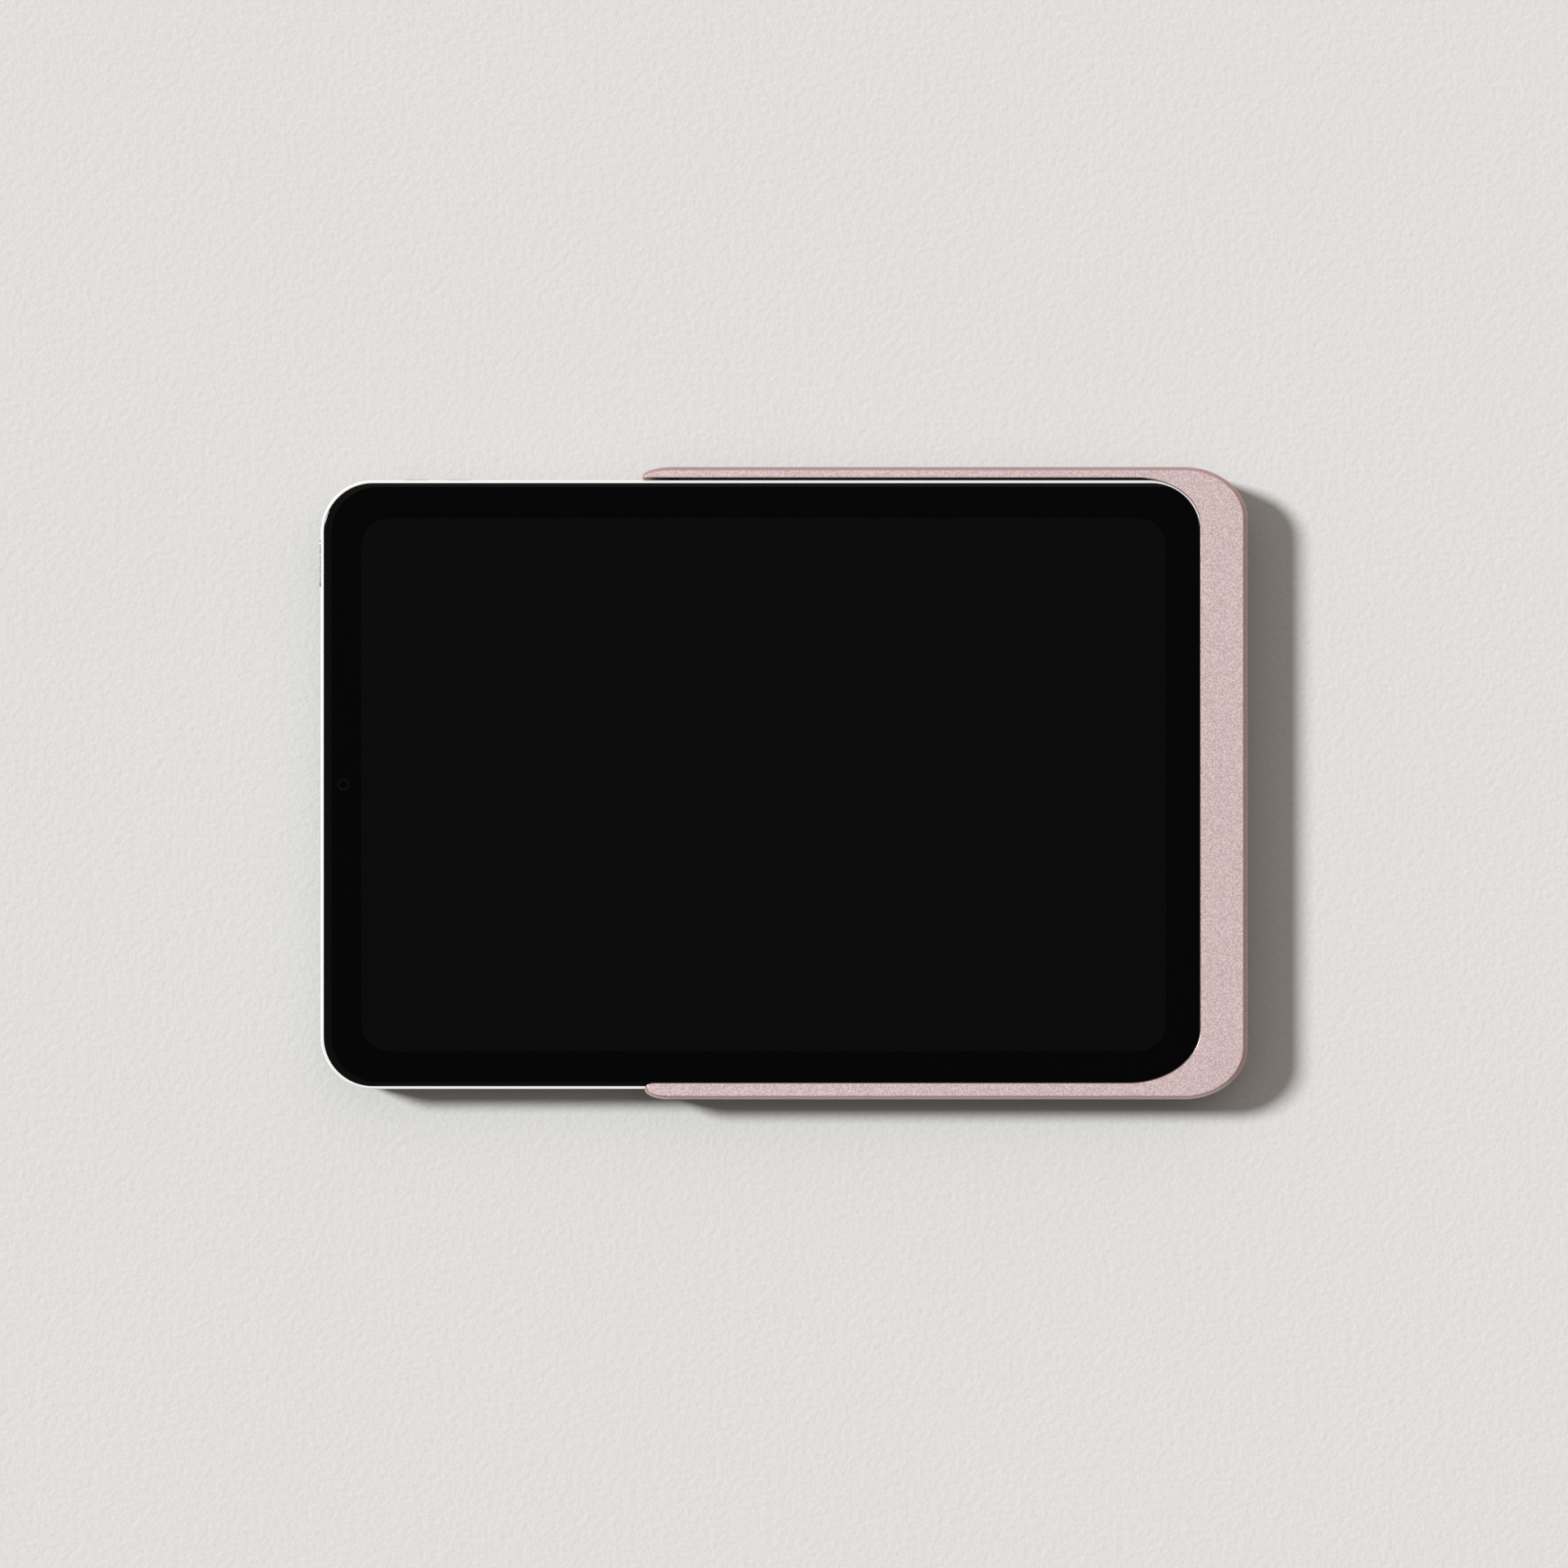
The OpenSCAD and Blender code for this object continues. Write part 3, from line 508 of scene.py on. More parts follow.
def glass_black():
    """Black-printed cover glass: border, picture area, a painted reflection along the glass's edge, and the
    front camera's window.
    """
    border, gap, screen = (0.0014, 0.0014, 0.0020), (0.0012, 0.0012, 0.0012), (0.0034, 0.0034, 0.0034)
    # Colours of the painted edge reflection: dimmer on the south, brighter and warmer on the north
    edge_reflection_south, edge_reflection_north = (0.0050, 0.0048, 0.0045), (0.0098, 0.0086, 0.0068)
    eye_window, eye_lens = (0.0045, 0.0045, 0.0060), (0.0010, 0.0011, 0.0020)
    made = material("cover_glass", border, 0.04, IOR=1.5)

    # Painted reflection: a lighter band between the glass's edge and a rectangle that is set off to the east
    # and south, brighter and warmer towards the north
    edge_reflection_low = glass_low + Vector((1.65, 0.9, 0)) * MM
    edge_reflection_high = glass_high + Vector((3.0, -0.8, 0)) * MM
    to_edge_reflection = rounded_distance(made, edge_reflection_low, edge_reflection_high, HOUSE_R - 1.2 * MM)
    edge_reflection = spread(made, to_edge_reflection, -0.1 * MM, 0.1 * MM, 0.0, 1.0)
    # The painted reflection brightens over the last few millimetres towards the north edge
    across = add(made, "ShaderNodeSeparateXYZ", {0: place_of(made)}).outputs["Y"]
    north = spread(made, across, glass_high.y - 5 * MM, glass_high.y - 1 * MM, 0.0, 1.0)
    color = blend_colors(made, edge_reflection, border, blend_colors(made, north, edge_reflection_south, edge_reflection_north))

    inset = Vector((0.6, 0.6, 0)) * MM
    to_screen = rounded_distance(made, screen_low + inset, screen_high - inset, 6.5 * MM)
    color = blend_colors(made, within(made, to_screen, 0.12 * MM, 0.3 * MM), color, gap)
    color = blend_colors(made, within(made, to_screen, -0.2 * MM, -0.02 * MM), color, screen)

    eye = spot_distance(made, middle(front_low, front_high))
    color = blend_colors(made, within(made, eye, 1.3 * MM, 1.45 * MM), color, eye_window)
    color = blend_colors(made, within(made, eye, 0.75 * MM, 0.9 * MM), color, eye_lens)
    link(made, color, "Base Color")
    smudges = noise(made, 22 * MM, detail=4.0, rough=0.6)
    link(made, spread(made, smudges, 0.35, 0.75, 0.03, 0.07), "Roughness")
    return made


def panel_black():
    """Switched-off display panel."""
    made = material("display", (0.004, 0.004, 0.005), 0.2)
    rows = noise(made, 0.2 * MM, detail=1.0)
    link(made, blend_colors(made, rows, (0.003, 0.003, 0.004), (0.006, 0.006, 0.007)), "Base Color")
    return made


def clear_glass():
    """Coated camera window."""
    made = material("camera_glass", (0.75, 0.82, 0.95), 0.0, Transmission_Weight=1.0, IOR=1.5)
    tint = noise(made, 6 * MM, detail=0.0)
    link(made, blend_colors(made, tint, (0.62, 0.72, 0.92), (0.80, 0.86, 0.96)), "Base Color")
    return made


def board_green():
    """Circuit board: solder mask over copper tracks."""
    green = (0.02, 0.13, 0.065)
    made = material("circuit_board", green, 0.35)
    inputs = {"Vector": place_of(made), "Scale": 500, "Mortar Size": 0.03}
    tracks = add(made, "ShaderNodeTexBrick", inputs)
    tracks.inputs["Color1"].default_value = (*scaled(green, 1.3), 1)
    tracks.inputs["Color2"].default_value = (*green, 1)
    tracks.inputs["Mortar"].default_value = (*scaled(green, 0.6), 1)
    link(made, tracks.outputs["Color"], "Base Color")
    bump(made, tracks.outputs["Fac"], 0.02 * MM)
    return made


def flex_orange():
    """Polyimide flexible circuit with tracks under its film."""
    made = material("flex_circuit", (0.50, 0.24, 0.04), 0.35)
    inputs = {"Vector": place_of(made), "Scale": 900}
    tracks = add(made, "ShaderNodeTexWave", inputs, bands_direction="Y")
    tone = spread(made, tracks.outputs["Fac"], 0.3, 0.6, 0.0, 1.0)
    link(made, blend_colors(made, tone, (0.42, 0.19, 0.03), (0.62, 0.33, 0.08)), "Base Color")
    return made


def battery_foil():
    """Pouch cell foil with faint creases."""
    roughness = 0.38
    made = material("battery_foil", (0.52, 0.52, 0.54), roughness, 0.9)
    creases = noise(made, 9 * MM, detail=5.0, rough=0.65)
    vary_roughness(made, creases, roughness, 0.1)
    bump(made, creases, 0.15 * MM)
    return made


def woven_mesh():
    """Fine woven steel mesh behind the speaker holes."""
    dark, light = (0.02, 0.02, 0.022), (0.16, 0.16, 0.17)
    made = material("mesh", (0.10, 0.10, 0.11), 0.45, 0.8)
    weave = add(made, "ShaderNodeTexChecker", {"Vector": place_of(made), "Scale": 5500}).outputs["Fac"]
    link(made, blend_colors(made, weave, dark, light), "Base Color")
    bump(made, weave, 0.04 * MM)
    return made


def ring_steel():
    """Steel ring turned on a lathe: fine circles round the dock's centre."""
    made = material("dock_steel", (0.64, 0.62, 0.61), 0.34, 1.0)
    grooves_per_metre = 9000.0
    phase = math_node(made, "MULTIPLY", spot_distance(made, dock_mid), grooves_per_metre)
    grooves = math_node(made, "SINE", phase)
    uneven = noise(made, 1.5 * MM, detail=3.0)
    tone = spread(made, math_node(made, "MULTIPLY", grooves, uneven), -0.5, 0.5, 0.0, 1.0)
    link(made, blend_colors(made, tone, (0.56, 0.54, 0.53), (0.70, 0.68, 0.67)), "Base Color")
    bump(made, grooves, 0.004 * MM)
    return made


def lens_black():
    """Lens barrel: matt black steps round a coated front element."""
    made = material("lens_barrel", (0.01, 0.01, 0.012), 0.4)
    out = spot_distance(made, camera_mid)
    low, high = 1.4 * MM, 1.5 * MM
    element = within(made, out, low, high)
    link(made, blend_colors(made, element, (0.014, 0.014, 0.016), (0.006, 0.010, 0.035)), "Base Color")
    link(made, spread(made, out, low, high, 0.03, 0.45), "Roughness")
    return made


cover_glass_black = glass_black()
display_black = panel_black()
window_glass = clear_glass()
green_board = board_green()
orange_flex = flex_orange()
pouch_foil = battery_foil()
speaker_mesh = woven_mesh()
dock_steel = ring_steel()
barrel_black = lens_black()


def dress(piece, made, slot, body, *replaced):
    """Gives a new piece its material, its body and the CAD nodes it stands for. The slot argument is not
    used.
    """
    piece.data.materials.clear()
    piece.data.materials.append(made)
    smooth(piece)
    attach(piece, body)
    if replaced:
        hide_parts(*replaced)
    return piece


LOOKS_UP = 0.3


def metal_sides(piece, made):
    """Gives the faces that don't look up another material."""
    piece.data.materials.append(made)
    for face in piece.data.polygons:
        if face.normal.z < LOOKS_UP:
            face.material_index = len(piece.data.materials) - 1


# ---------- Sleeve ----------

def sleeve_outline(inset):
    """The sleeve's outline: round corners at its closed end and thin round tips at its open end."""
    dx, dy = inset
    y = HALF_W
    east, north, south = EAST_CORNER, NORTH_TIP, SOUTH_TIP
    tip_dx = min(dx, dy)
    return (
        arc((EAST - east.x, y - east.y), (east.x - dx, east.y - dy), 0, 90, 36)
        + arc((WEST + north.x, y - north.y), (north.x - tip_dx, north.y - dy), 90, 180, 18)
        + arc((SOUTH_START + south.x, south.y - y), (south.x - tip_dx, south.y - dy), 180, 270, 18)
        + arc((EAST - east.x, east.y - y), (east.x - dx, east.y - dy), 270, 360, 36)
    )


def sleeve_levels():
    """Heights and insets: a rounded foot edge, a straight side and a flat bevel with crisp edges."""
    foot = 0.6 * MM
    soft = 0.07
    levels = [(z, (i, i)) for z, i in edge_levels(FOOT, TOP, foot, 0)[:-1]]
    # Each pair is a share of the bevel's height and a share of its width
    bevel_steps = [(-soft, 0), (0, soft / 3), (soft, soft)]
    bevel_steps += [(1 - soft, 1 - soft), (1 - soft / 4, 1), (1, 1 + soft)]
    return levels + [(TOP - (1 - up) * BEVEL_H, tuple(BEVEL * across)) for up, across in bevel_steps]


def tablet_room():
    """Cutter for the room that the tablet slides into, open to the west."""
    r = HOUSE_R + CLEAR
    east = house_high.x + CLEAR
    outline = arc((east - r, WALL_NORTH - r), (r, r), 0, 90, 24)
    outline += [(OPEN_X, WALL_NORTH), (OPEN_X, WALL_SOUTH)]
    outline += arc((east - r, WALL_SOUTH + r), (r, r), 270, 360, 24)
    return loft("cutter", [(outline, SKIN_Z), (outline, LIP_Z)])


def lip_opening():
    """Cutter for the opening in the front lip, flared at its top edge."""
    def outline(grow):
        wider = Vector((grow, grow))
        mid_n = (LIP_EAST - LIP_NORTH_CORNER.x, WALL_NORTH - LIP_NORTH_CORNER.y)
        mid_s = (LIP_EAST - LIP_SOUTH_CORNER.x, LIP_SOUTH + LIP_SOUTH_CORNER.y)
        tip_mid = (SOUTH_START + LIP_TIP.x, LIP_SOUTH - LIP_TIP.y)
        points = arc(mid_n, LIP_NORTH_CORNER + wider, 0, 90, 30)
        points += [(OPEN_X, WALL_NORTH + grow), (OPEN_X, tip_mid[1])]
        points += arc(tip_mid, LIP_TIP - wider, 180, 90, 12)
        return points + arc(mid_s, LIP_SOUTH_CORNER + wider, 270, 360, 30)

    edge = 0.17 * MM
    start = LIP_Z - 0.05 * MM
    levels = [(start, 0.0), (TOP - edge, 0.0), (TOP - edge * 0.3, edge * 0.3)]
    levels += [(TOP + edge * 0.2, edge * 1.2), (TOP + 2 * MM, edge * 1.2)]
    return loft("cutter", [(outline(grow), z) for z, grow in levels])


COVER_GAP = 0.1 * MM
COVER_R = 10 * MM
POCKET_HALF_W = 48 * MM
POCKET = (WEST + 11.15 * MM, EAST - 11.85 * MM)
POCKET_TOP = SKIN_Z - 0.6 * MM
PLUG_ROOM = (EAST - 8.55 * MM, EAST - 3.25 * MM)
PLUG_ROOM_HALF = 15 * MM
PLUG_ROOM_TOP = 9 * MM
PLUG_NOSE = (10.8 * MM, 4.8 * MM)
RAIL_SUNK = 0.3 * MM
RAIL_X = (WEST + 8 * MM, WEST + 116 * MM)
RAIL_Z = (house_low.z + 0.8 * MM, house_high.z - 1.0 * MM)
SCREW_BORE_R = 0.8 * MM
SCREW_BORE_TOP = 3.1 * MM
SCREW_ROW = (
    (WEST + 7.65 * MM, 50 * MM), (middle(cover_low, cover_high).x, 52 * MM), (EAST - 6.35 * MM, 46 * MM),
)
SCREWS = [(x, y * side) for side in (-1, 1) for x, y in SCREW_ROW]


def sleeve_cutters():
    """Everything that is cut out of the sleeve's shell."""
    over = 1 * MM
    cutters = [tablet_room(), lip_opening()]

    gap = Vector((COVER_GAP, COVER_GAP, 0))
    mouth = 0.12 * MM
    recess = [(FOOT - over, -2 * mouth), (FOOT - mouth, -2 * mouth), (FOOT + mouth, 0.0)]
    recess.append((cover_high.z, 0.0))
    low, high, radius = cover_low - gap, cover_high + gap, COVER_R + COVER_GAP
    cutters.append(loft("cutter", [(round_rect(low, high, radius, inset), z) for z, inset in recess]))

    pocket_west, pocket_east = POCKET
    plug_west, plug_east = PLUG_ROOM
    for west, east, half_w, top in (
        (pocket_west, pocket_east, POCKET_HALF_W, POCKET_TOP),
        (pocket_east - over, plug_east, PLUG_ROOM_HALF, POCKET_TOP),
        (plug_west, plug_east, PLUG_ROOM_HALF, PLUG_ROOM_TOP),
    ):
        cutters.append(block((west, -half_w, over), (east, half_w, top)))
    nose = Matrix.Translation((plug_west - 3 * MM, plug_mid.y, plug_mid.z)) @ TO_EAST
    nose_hole = pill(*PLUG_NOSE)
    cutters.append(loft("cutter", [(nose_hole, 0), (nose_hole, 4 * MM)], nose))

    for x, y in SCREWS:
        cutters.append(post(x, y, SCREW_BORE_R, over, SCREW_BORE_TOP, 32))
    for y0, y1 in ((house_high.y, WALL_NORTH + RAIL_SUNK), (WALL_SOUTH - RAIL_SUNK, house_low.y)):
        cutters.append(block((RAIL_X[0], y0, RAIL_Z[0]), (RAIL_X[1], y1, RAIL_Z[1])))
    return cutters


def make_sleeve_shell():
    """The machined shell, with bright bevels and a bright inner edge on its lip, whose warmer colour is a
    painted reflection.
    """
    shell = loft("sleeve_shell_body", [(sleeve_outline(inset), z) for z, inset in sleeve_levels()])
    carve(shell, sleeve_cutters())
    dress(shell, sleeve_metal, "sleeve_aluminium", "sleeve", "sleeve_shell")
    shell.data.materials.append(bevel_metal)
    shell.data.materials.append(edge_metal_with_painted_reflection)
    beyond = 0.5 * MM
    for face in shell.data.polygons:
        slanted = LOOKS_UP < face.normal.z < 0.9
        off_lip = max(abs(face.center.y) - WALL_NORTH, face.center.x - LIP_EAST) > beyond
        at_tip = face.center.x < SOUTH_START + LIP_TIP.x
        if slanted and TOP - BEVEL_H < face.center.z < TOP:
            # The lip's inner edge faces take the metal whose warm colour is a painted reflection
            face.material_index = 1 if off_lip or at_tip else 2
    metal_sides(shell, sleeve_side)
    return shell


PADS = [(x, y) for x in (WEST + 17 * MM, EAST - 20 * MM) for y in (-42 * MM, 42 * MM)]
PAD_L, PAD_W, PAD_T = 22 * MM, 7 * MM, 0.9 * MM
PAD_GAP = 0.1 * MM
DOCK_R = 21 * MM
DOCK_CORE_R = 20 * MM


def make_sleeve_cover():
    """The back cover, with its screw holes, pad recesses and round dock recess."""
    rings = [
        (round_rect(cover_low, cover_high, COVER_R, inset, 24), z)
        for z, inset in edge_levels(cover_low.z, cover_high.z, 0.1 * MM, 0, steps=3)
    ]
    cover = loft("sleeve_back_cover", rings)
    down = Matrix.Translation((0, 0, cover_low.z)) @ TO_FLOOR
    cutters = []
    # Radius and height of a screw's bore and its countersink
    screw_hole = ((0.9, -3), (0.9, -0.72), (1.55, -0.04), (1.62, 0.05), (1.62, 1))
    for x, y in SCREWS:
        place = Matrix.Translation((x, y, 0)) @ down
        cutters.append(loft("cutter", [(circle(r * MM, 36), z * MM) for r, z in screw_hole], place))
    length, width = PAD_L + PAD_GAP, PAD_W + PAD_GAP
    for x, y in PADS:
        place = Matrix.Translation((x, y, 0)) @ down
        cutters.append(hole(lambda inset: pill(length, width, inset), 0.5 * MM, 0.08 * MM, place))
    place = Matrix.Translation((dock_mid.x, 0, 0)) @ down
    cutters.append(hole(lambda inset: circle(DOCK_R - inset, 128), 0.8 * MM, 0.1 * MM, place))
    core = circle(DOCK_CORE_R, 128)
    cutters.append(loft("cutter", [(core, -5 * MM), (core, -0.4 * MM)], place))
    carve(cover, cutters)
    return dress(cover, sleeve_side, "sleeve_aluminium", "sleeve", "sleeve_cover")


def make_pads():
    """Four silicone feet with soft edges."""
    pads = []
    for x, y in PADS:
        levels = edge_levels(0, PAD_T, 0.22 * MM, 0)
        rings = [(pill(PAD_L, PAD_W, inset, 20), z) for z, inset in levels]
        pads.append(loft("pad", rings, Matrix.Translation((x, y, 0))))
    joined = merge(pads)
    joined.name = "silicone_feet"
    return dress(joined, pad_rubber, "pad_rubber", "sleeve", "rear_pads")


def make_plug():
    """The plug's steel tongue shell, with a rounded lip at its mouth."""
    length = plug_high.x - plug_low.x
    width, height = plug_high.y - plug_low.y, plug_high.z - plug_low.z
    levels = edge_levels(-length, 0, 0, 0.25 * MM)
    place = Matrix.Translation((plug_low.x, plug_mid.y, plug_mid.z)) @ TO_WEST
    plug = loft("charging_plug", [(pill(width, height, inset, 20), z) for z, inset in levels], place)
    carve(plug, [hole(lambda inset: pill(7 * MM, 1.1 * MM, inset, 10), 5.2 * MM, 0.06 * MM, place)])
    return dress(plug, steel, "sheet_steel", "sleeve", "usb_plug")


# ---------- Tablet ----------

def key_length(name):
    """Length of a key's cap, which is its box's longest side without the flange's lips."""
    low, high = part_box(name)
    return max(high - low) - 2 * KEY_LIP


def key_frame(name, edge_x, edge_y, z):
    """Where a key's own Z axis points out of the housing, at the given west and north edges."""
    mid = middle(*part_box(name))
    if name == "power_button":
        return Matrix.Translation((edge_x, mid.y, z)) @ TO_WEST
    return Matrix.Translation((mid.x, edge_y, z)) @ TO_NORTH


def board_screws():
    """Centres of the four screws that hold the logic board."""
    low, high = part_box("board_screws")
    head = BOARD_SCREW_HEAD_R
    return [(x, y) for x in (low.x + head, high.x - head) for y in (low.y + head, high.y - head)]


def housing_cutters():
    """Everything that is cut out of the housing."""
    def inner(inset, bottom, top):
        margin = Vector((inset, inset, 0))
        outline = round_rect(house_low + margin, house_high - margin, HOUSE_R - inset, 0.0, 24)
        return loft("cutter", [(outline, bottom), (outline, top)])

    top = house_high.z + 1 * MM
    cutters = [inner(WALL, house_low.z + FLOOR_T, top), inner(RIM_W - 0.05 * MM, SEAT_Z, top)]
    mid_z = house_mid.z
    for name in KEYS:
        length, height = key_length(name) + 2 * KEY_GAP, KEY_H + 2 * KEY_GAP
        place = key_frame(name, house_low.x, house_high.y, mid_z)
        cutters.append(hole(lambda inset: pill(length, height, inset), HOLE_DEPTH, 0.07 * MM, place))

    grilles = []
    for turn, x in ((TO_WEST, house_low.x), (TO_EAST, house_high.x)):
        for side in (-1, 1):
            for i in range(GRILLE_COUNT):
                y = house_mid.y + side * GRILLE_Y + (i - (GRILLE_COUNT - 1) / 2) * GRILLE_PITCH
                place = Matrix.Translation((x, y, mid_z)) @ turn
                grilles.append(hole(lambda inset: circle(GRILLE_R - inset, 28), HOLE_DEPTH, 0.06 * MM, place))
    cutters.append(merge(grilles))

    port = Matrix.Translation((house_high.x, house_mid.y, mid_z)) @ TO_EAST
    cutters.append(hole(lambda inset: pill(PORT_L, PORT_H, inset, 18), HOLE_DEPTH, 0.1 * MM, port))
    for x, radius in ((camera_mid.x, CAMERA_HOLE_R), (flash_mid.x, FLASH_HOLE_R), (MIC_X, MIC_R)):
        place = Matrix.Translation((x, camera_mid.y, house_low.z)) @ TO_FLOOR
        cutters.append(hole(lambda inset: circle(radius - inset, 56), 2 * MM, 0.03 * MM, place))
    return cutters


def make_housing():
    """The aluminium tray, with round edges and with bosses for the board's screws."""
    levels = edge_levels(house_low.z, house_high.z, BACK_ROUND, FRONT_ROUND, steps=7)
    rings = [(round_rect(house_low, house_high, HOUSE_R, inset, 28), z) for z, inset in levels]
    housing = loft("tablet_housing", rings)
    carve(housing, housing_cutters())
    base = house_low.z
    bosses = [post(x, y, BOSS_R, base + 0.75 * MM, base + 1.2 * MM, 24) for x, y in board_screws()]
    combine(housing, bosses, "UNION")
    carve(housing, [post(x, y, BOSS_BORE_R, base + 0.3 * MM, base + 2 * MM, 20) for x, y in board_screws()])
    dress(housing, tablet_metal, "tablet_aluminium", "tablet", "rear_housing")
    metal_sides(housing, tablet_side)
    return housing


def make_glass():
    """The cover glass, with a finely rounded front edge."""
    r = HOUSE_R - RIM_W
    levels = edge_levels(glass_low.z, glass_high.z, 0, 0.22 * MM, steps=6)
    rings = [(round_rect(glass_low, glass_high, r, inset, 28), z) for z, inset in levels]
    glass = loft("front_glass", rings)
    return dress(glass, cover_glass_black, "cover_glass", "tablet", "cover_glass")


def make_key(name):
    """A key cap with a soft edge, on its retaining flange."""
    low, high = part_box(name)
    length = key_length(name)
    depth = high.x - low.x if name == "power_button" else high.y - low.y
    flange = pill(length + 2 * KEY_LIP, KEY_H + 2 * KEY_LIP, 0.0, 16)
    rings = [(flange, -depth), (flange, KEY_FLANGE - depth)]
    levels = edge_levels(KEY_FLANGE - depth, 0, 0, KEY_ROUND)
    rings += [(pill(length, KEY_H, inset, 16), z) for z, inset in levels]
    key = loft(name + "_cap", rings, key_frame(name, low.x, high.y, middle(low, high).z))
    return dress(key, key_metal, "tablet_aluminium", name, name)


def make_camera():
    """The turned camera ring, its window and the lens barrel behind it."""
    ring_r, body_r, bore_r, seat_r = 5.9 * MM, 5.2 * MM, 4.3 * MM, 4.9 * MM
    face, back, flange = ring_low.z, ring_high.z, house_low.z
    seat = face + 0.55 * MM
    lip = Vector((0.12, 0.1)) * MM
    soft = 0.3 * MM
    turns = [math.radians(15 * i) for i in range(7)]
    profile = [(seat_r + lip.x, face)]
    profile += [(ring_r - soft * (1 - math.sin(a)), face + soft * (1 - math.cos(a))) for a in turns]
    profile += [(ring_r, flange), (body_r, flange), (body_r, back), (bore_r, back)]
    profile += [(bore_r, seat), (seat_r, seat), (seat_r, face + lip.y)]
    ring = lathe("camera_trim", profile, camera_mid, 96)
    dress(ring, ring_metal, "camera_ring", "tablet", "camera_ring")

    radius = (window_high.x - window_low.x) / 2
    edge = 0.08 * MM
    profile = [(0, window_low.z), (radius - edge, window_low.z), (radius, window_low.z + edge)]
    profile += [(radius, window_high.z), (0, window_high.z)]
    window = lathe("camera_pane", profile, camera_mid, 96)
    dress(window, window_glass, "camera_glass", "tablet", "camera_window")

    radius = (lens_high.x - lens_low.x) / 2
    # Steps down to the front element, then its dome, as radius and depth in millimetres
    steps = [(2.95, 0.0), (2.85, 0.12), (2.6, 0.12), (2.45, 0.3), (2.2, 0.3), (2.0, 0.48), (1.5, 0.5)]
    steps += [(1.45 * math.cos(a), 0.5 - 0.22 * math.sin(a)) for a in turns]
    profile = [(radius, lens_high.z), (radius, lens_low.z)]
    profile += [(r * MM, lens_low.z + z * MM) for r, z in steps]
    profile.append((0, lens_high.z))
    barrel = lathe("lens_barrel", profile, camera_mid, 72)
    dress(barrel, barrel_black, "black_moulding", "camera_lens", "camera_lens")


def make_flash():
    """The flash's frosted lens, with a soft edge and ribbed with circles."""
    radius = (flash_high.x - flash_low.x) / 2
    low, high = flash_low.z, flash_high.z
    edge, rib, count = 0.05 * MM, 0.03 * MM, 12
    profile = [(0, high), (radius, high), (radius, low + edge), (radius - edge, low)]
    profile += [(radius * (1 - i / count), low + rib * (i % 2)) for i in range(1, count)]
    profile.append((0, low))
    lens = lathe("flash_cover", profile, flash_mid, 64)
    return dress(lens, flash_plastic, "flash_lens", "tablet", "flash_lens")


# ---------- Carried-over CAD nodes ----------

KEPT = {
    steel: ["display_shield", "microphones", "shield_cans", "usb_socket"],
    dock_steel: ["dock_ring"],
    orange_flex: ["display_flex", "sensor_flex", "socket_flex", "charge_flex"],
    black_plastic: [
        "front_camera", "light_sensor", "camera_module", "speaker_nw", "speaker_sw", "speaker_ne",
        "speaker_se", "power_switch", "volume_switches", "plug_carrier", "dock_insert",
    ],
    seal_rubber: ["glass_gasket"],
    display_black: ["display_panel"],
    green_board: ["flash_board", "battery_board", "logic_board", "charge_board"],
    pouch_foil: ["battery_cell_a", "battery_cell_b"],
    white_tape: ["battery_adhesive"],
    chip_plastic: ["board_chips"],
    screw_steel: ["board_screws", "cover_screws"],
    cone_rubber: ["speaker_cones"],
    speaker_mesh: ["speaker_meshes"],
    copper: ["wifi_antennas", "stylus_coil"],
    magnet_metal: ["cover_magnets", "dock_magnets"],
    liner_rubber: ["floor_liner", "rail_liners"],
    gold: ["dock_contacts"],
}
# Edge rounding in millimetres
SOFT_EDGES = {
    "dock_insert": 0.1, "dock_contacts": 0.12, "dock_ring": 0.06, "plug_carrier": 0.15, "cover_screws": 0.04,
    "floor_liner": 0.08, "shield_cans": 0.15, "usb_socket": 0.08,
}


def dress_kept_nodes():
    """Gives each CAD node that stays its material, and rounds the edges that show."""
    for made, names in KEPT.items():
        for name in names:
            piece = nodes[name]
            piece.data.materials.clear()
            piece.data.materials.append(made)
            if name in SOFT_EDGES:
                bevel(piece, SOFT_EDGES[name] * MM)


make_sleeve_shell()
make_sleeve_cover()
make_pads()
make_plug()
make_housing()
make_glass()
for button in KEYS:
    make_key(button)
make_camera()
make_flash()
dress_kept_nodes()


# ---------- Floor, light and camera ----------

def make_floor():
    """A pale plaster-like floor with a faint texture."""
    half = 60.0
    plan = [(-half, -half), (half, -half), (half, half), (-half, half)]
    floor = mesh_object("floor", [(x, y, 0) for x, y in plan], [(0, 1, 2, 3)])
    dark, mid, light = (0.760, 0.760, 0.755), (0.785, 0.785, 0.780), (0.795, 0.795, 0.790)
    made = material("floor", (0.79, 0.79, 0.785), 0.9, Specular_IOR_Level=0.2)
    bump(made, noise(made, 1.6 * MM, detail=3.0, rough=0.55), 0.12 * MM)
    tone = vary(made, noise(made, 60 * MM, detail=2.0), 0.0, 1.0)
    grain = spread(made, noise(made, 0.8 * MM, detail=2.0), 0.35, 0.65, 0.0, 1.0)
    color = blend_colors(made, tone, mid, light)
    link(made, blend_colors(made, grain, color, dark), "Base Color")
    floor.data.materials.append(made)


LIGHT_FROM = Vector((-0.761, 0.270, 0.590))
SUN_POWER = 3.75
SUN_COLOR = (0.985, 1.0, 1.01)
SUN_ANGLE = math.radians(11)
SKY_TINT = (1.10, 1.0, 0.92)
# How much brighter the sky grows towards the east and the north
SKY_LEAN = (0.4, 1.0)
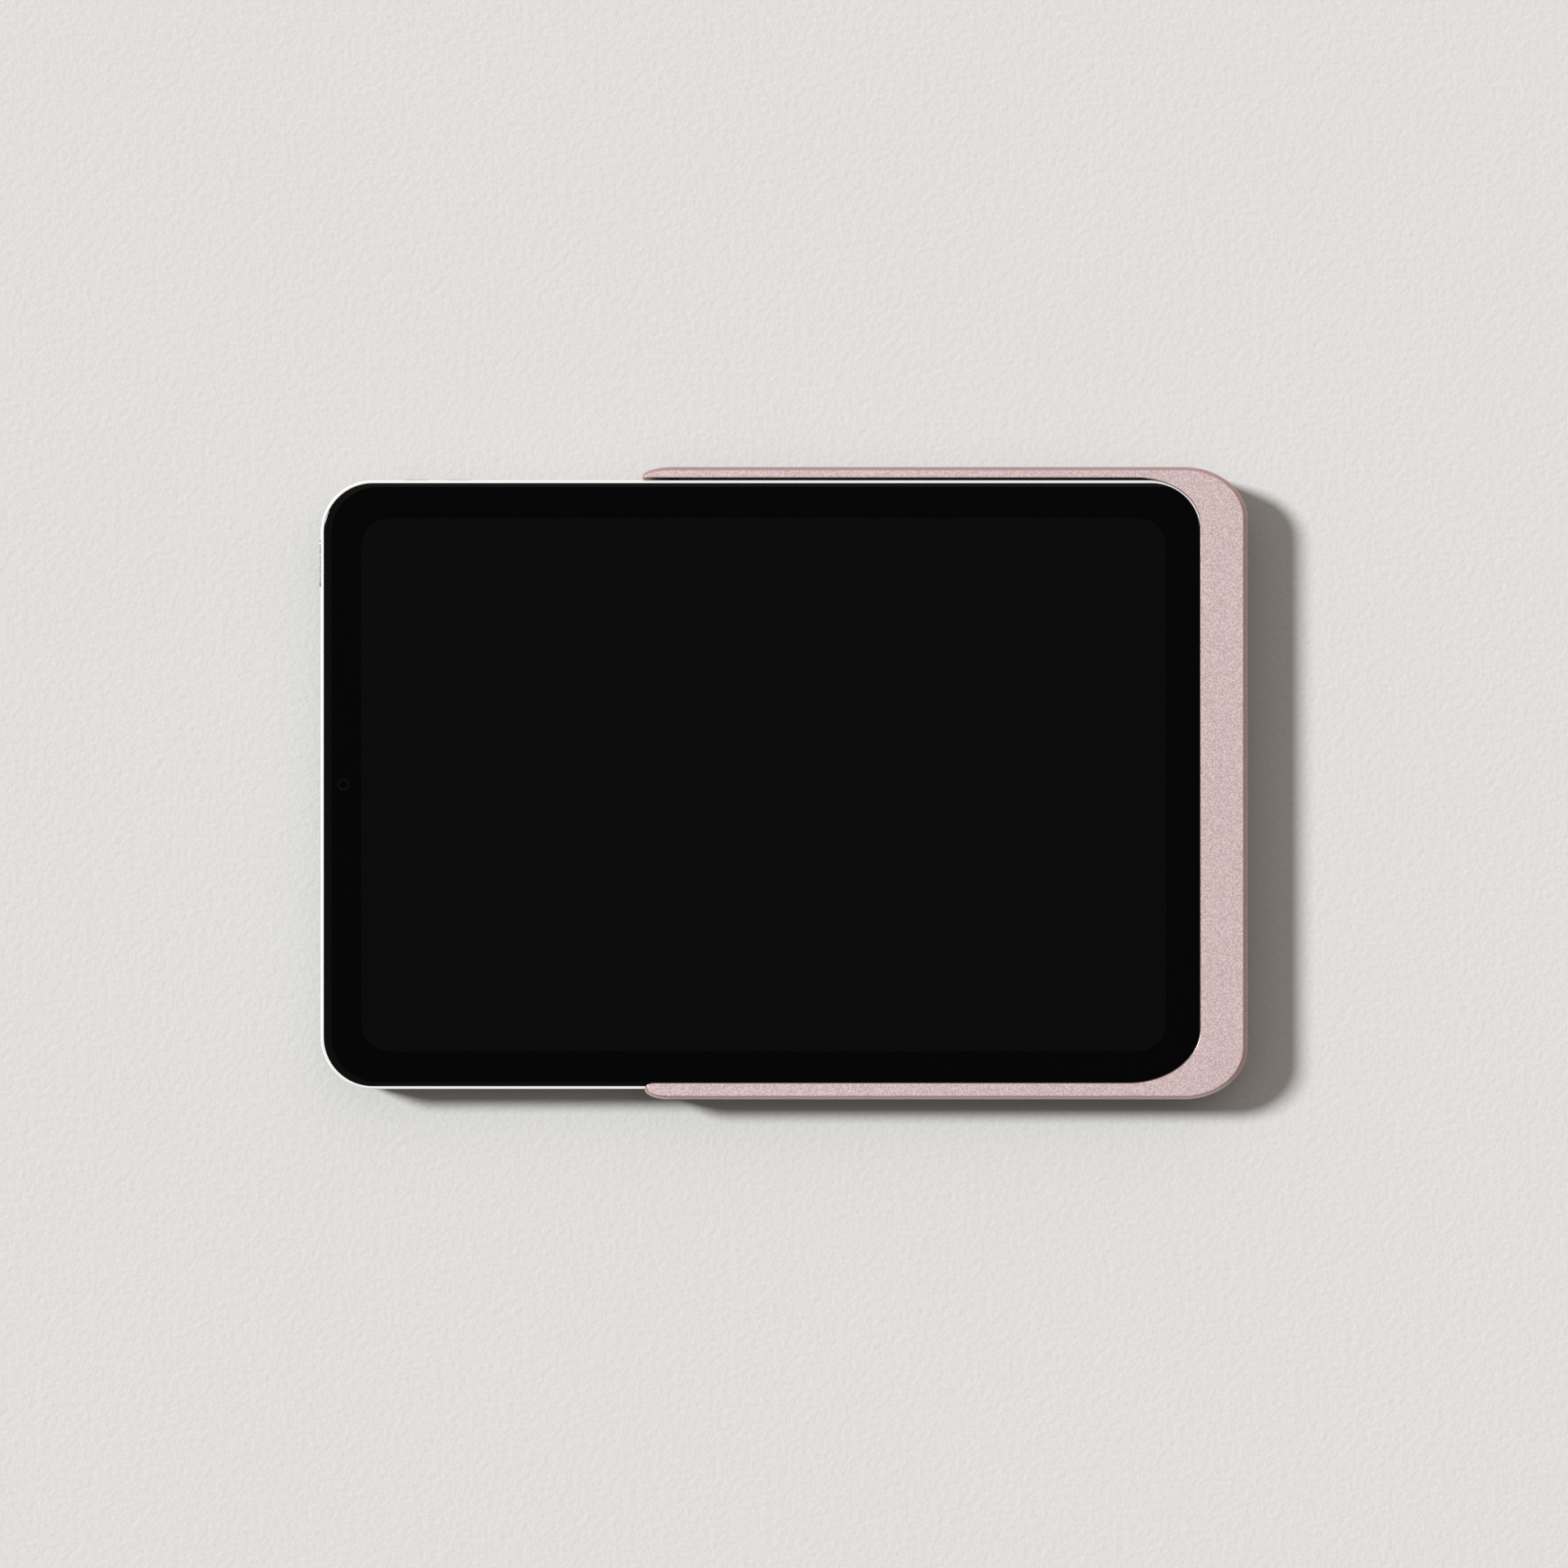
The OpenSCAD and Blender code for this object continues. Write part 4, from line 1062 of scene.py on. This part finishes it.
# Brightness of the sky by the sine of the elevation
SKY = ((0.0, 0.13), (0.3, 0.18), (0.5, 0.26), (0.8, 0.31), (0.955, 0.28), (0.975, 0.02), (1.0, 0.02))


def make_light():
    """A soft key from the west and a sky that is dark overhead and brightest well above the horizon."""
    light = bpy.data.lights.new("key", "SUN")
    light.energy = SUN_POWER
    light.color = SUN_COLOR
    light.angle = SUN_ANGLE
    key = bpy.data.objects.new("key", light)
    key.rotation_euler = LIGHT_FROM.to_track_quat("Z", "Y").to_euler()
    bpy.context.scene.collection.objects.link(key)

    world = bpy.data.worlds.new("studio")
    world.use_nodes = True
    bpy.context.scene.world = world
    toward = add(world, "ShaderNodeTexCoord").outputs["Generated"]
    height = add(world, "ShaderNodeSeparateXYZ", {0: toward}).outputs["Z"]
    ramp = add(world, "ShaderNodeValToRGB", {"Fac": height})
    lean = add(world, "ShaderNodeVectorMath", {0: toward, 1: (*SKY_LEAN, 0)}, operation="DOT_PRODUCT")
    strength = math_node(world, "ADD", lean.outputs["Value"], 1.0)
    background = world.node_tree.nodes["Background"]
    world.node_tree.links.new(ramp.outputs["Color"], background.inputs["Color"])
    world.node_tree.links.new(strength, background.inputs["Strength"])
    stops = ramp.color_ramp.elements
    stops.remove(stops[1])
    for i, (height, level) in enumerate(SKY):
        stop = stops.new(height) if i else stops[0]
        stop.position = height
        stop.color = (*scaled(SKY_TINT, level), 1)


def make_camera_view():
    """A camera straight above, with a long lens, close to the middle of the object."""
    view_width = 347.2 * MM
    aim = Vector((0.24, -0.2)) * MM
    sensor, lens = 36.0, 100.0
    height = house_high.z + view_width * lens / sensor
    data = bpy.data.cameras.new("camera")
    data.sensor_width = sensor
    data.lens = lens
    data.clip_start, data.clip_end = 0.01, 200
    camera = bpy.data.objects.new("camera", data)
    camera.location = (aim.x, aim.y, height)
    bpy.context.scene.collection.objects.link(camera)
    bpy.context.scene.camera = camera


make_floor()
make_light()
make_camera_view()
bpy.context.scene.view_settings.view_transform = "Standard"
bpy.context.scene.view_settings.look = "None"
bpy.context.scene.cycles.caustics_reflective = False
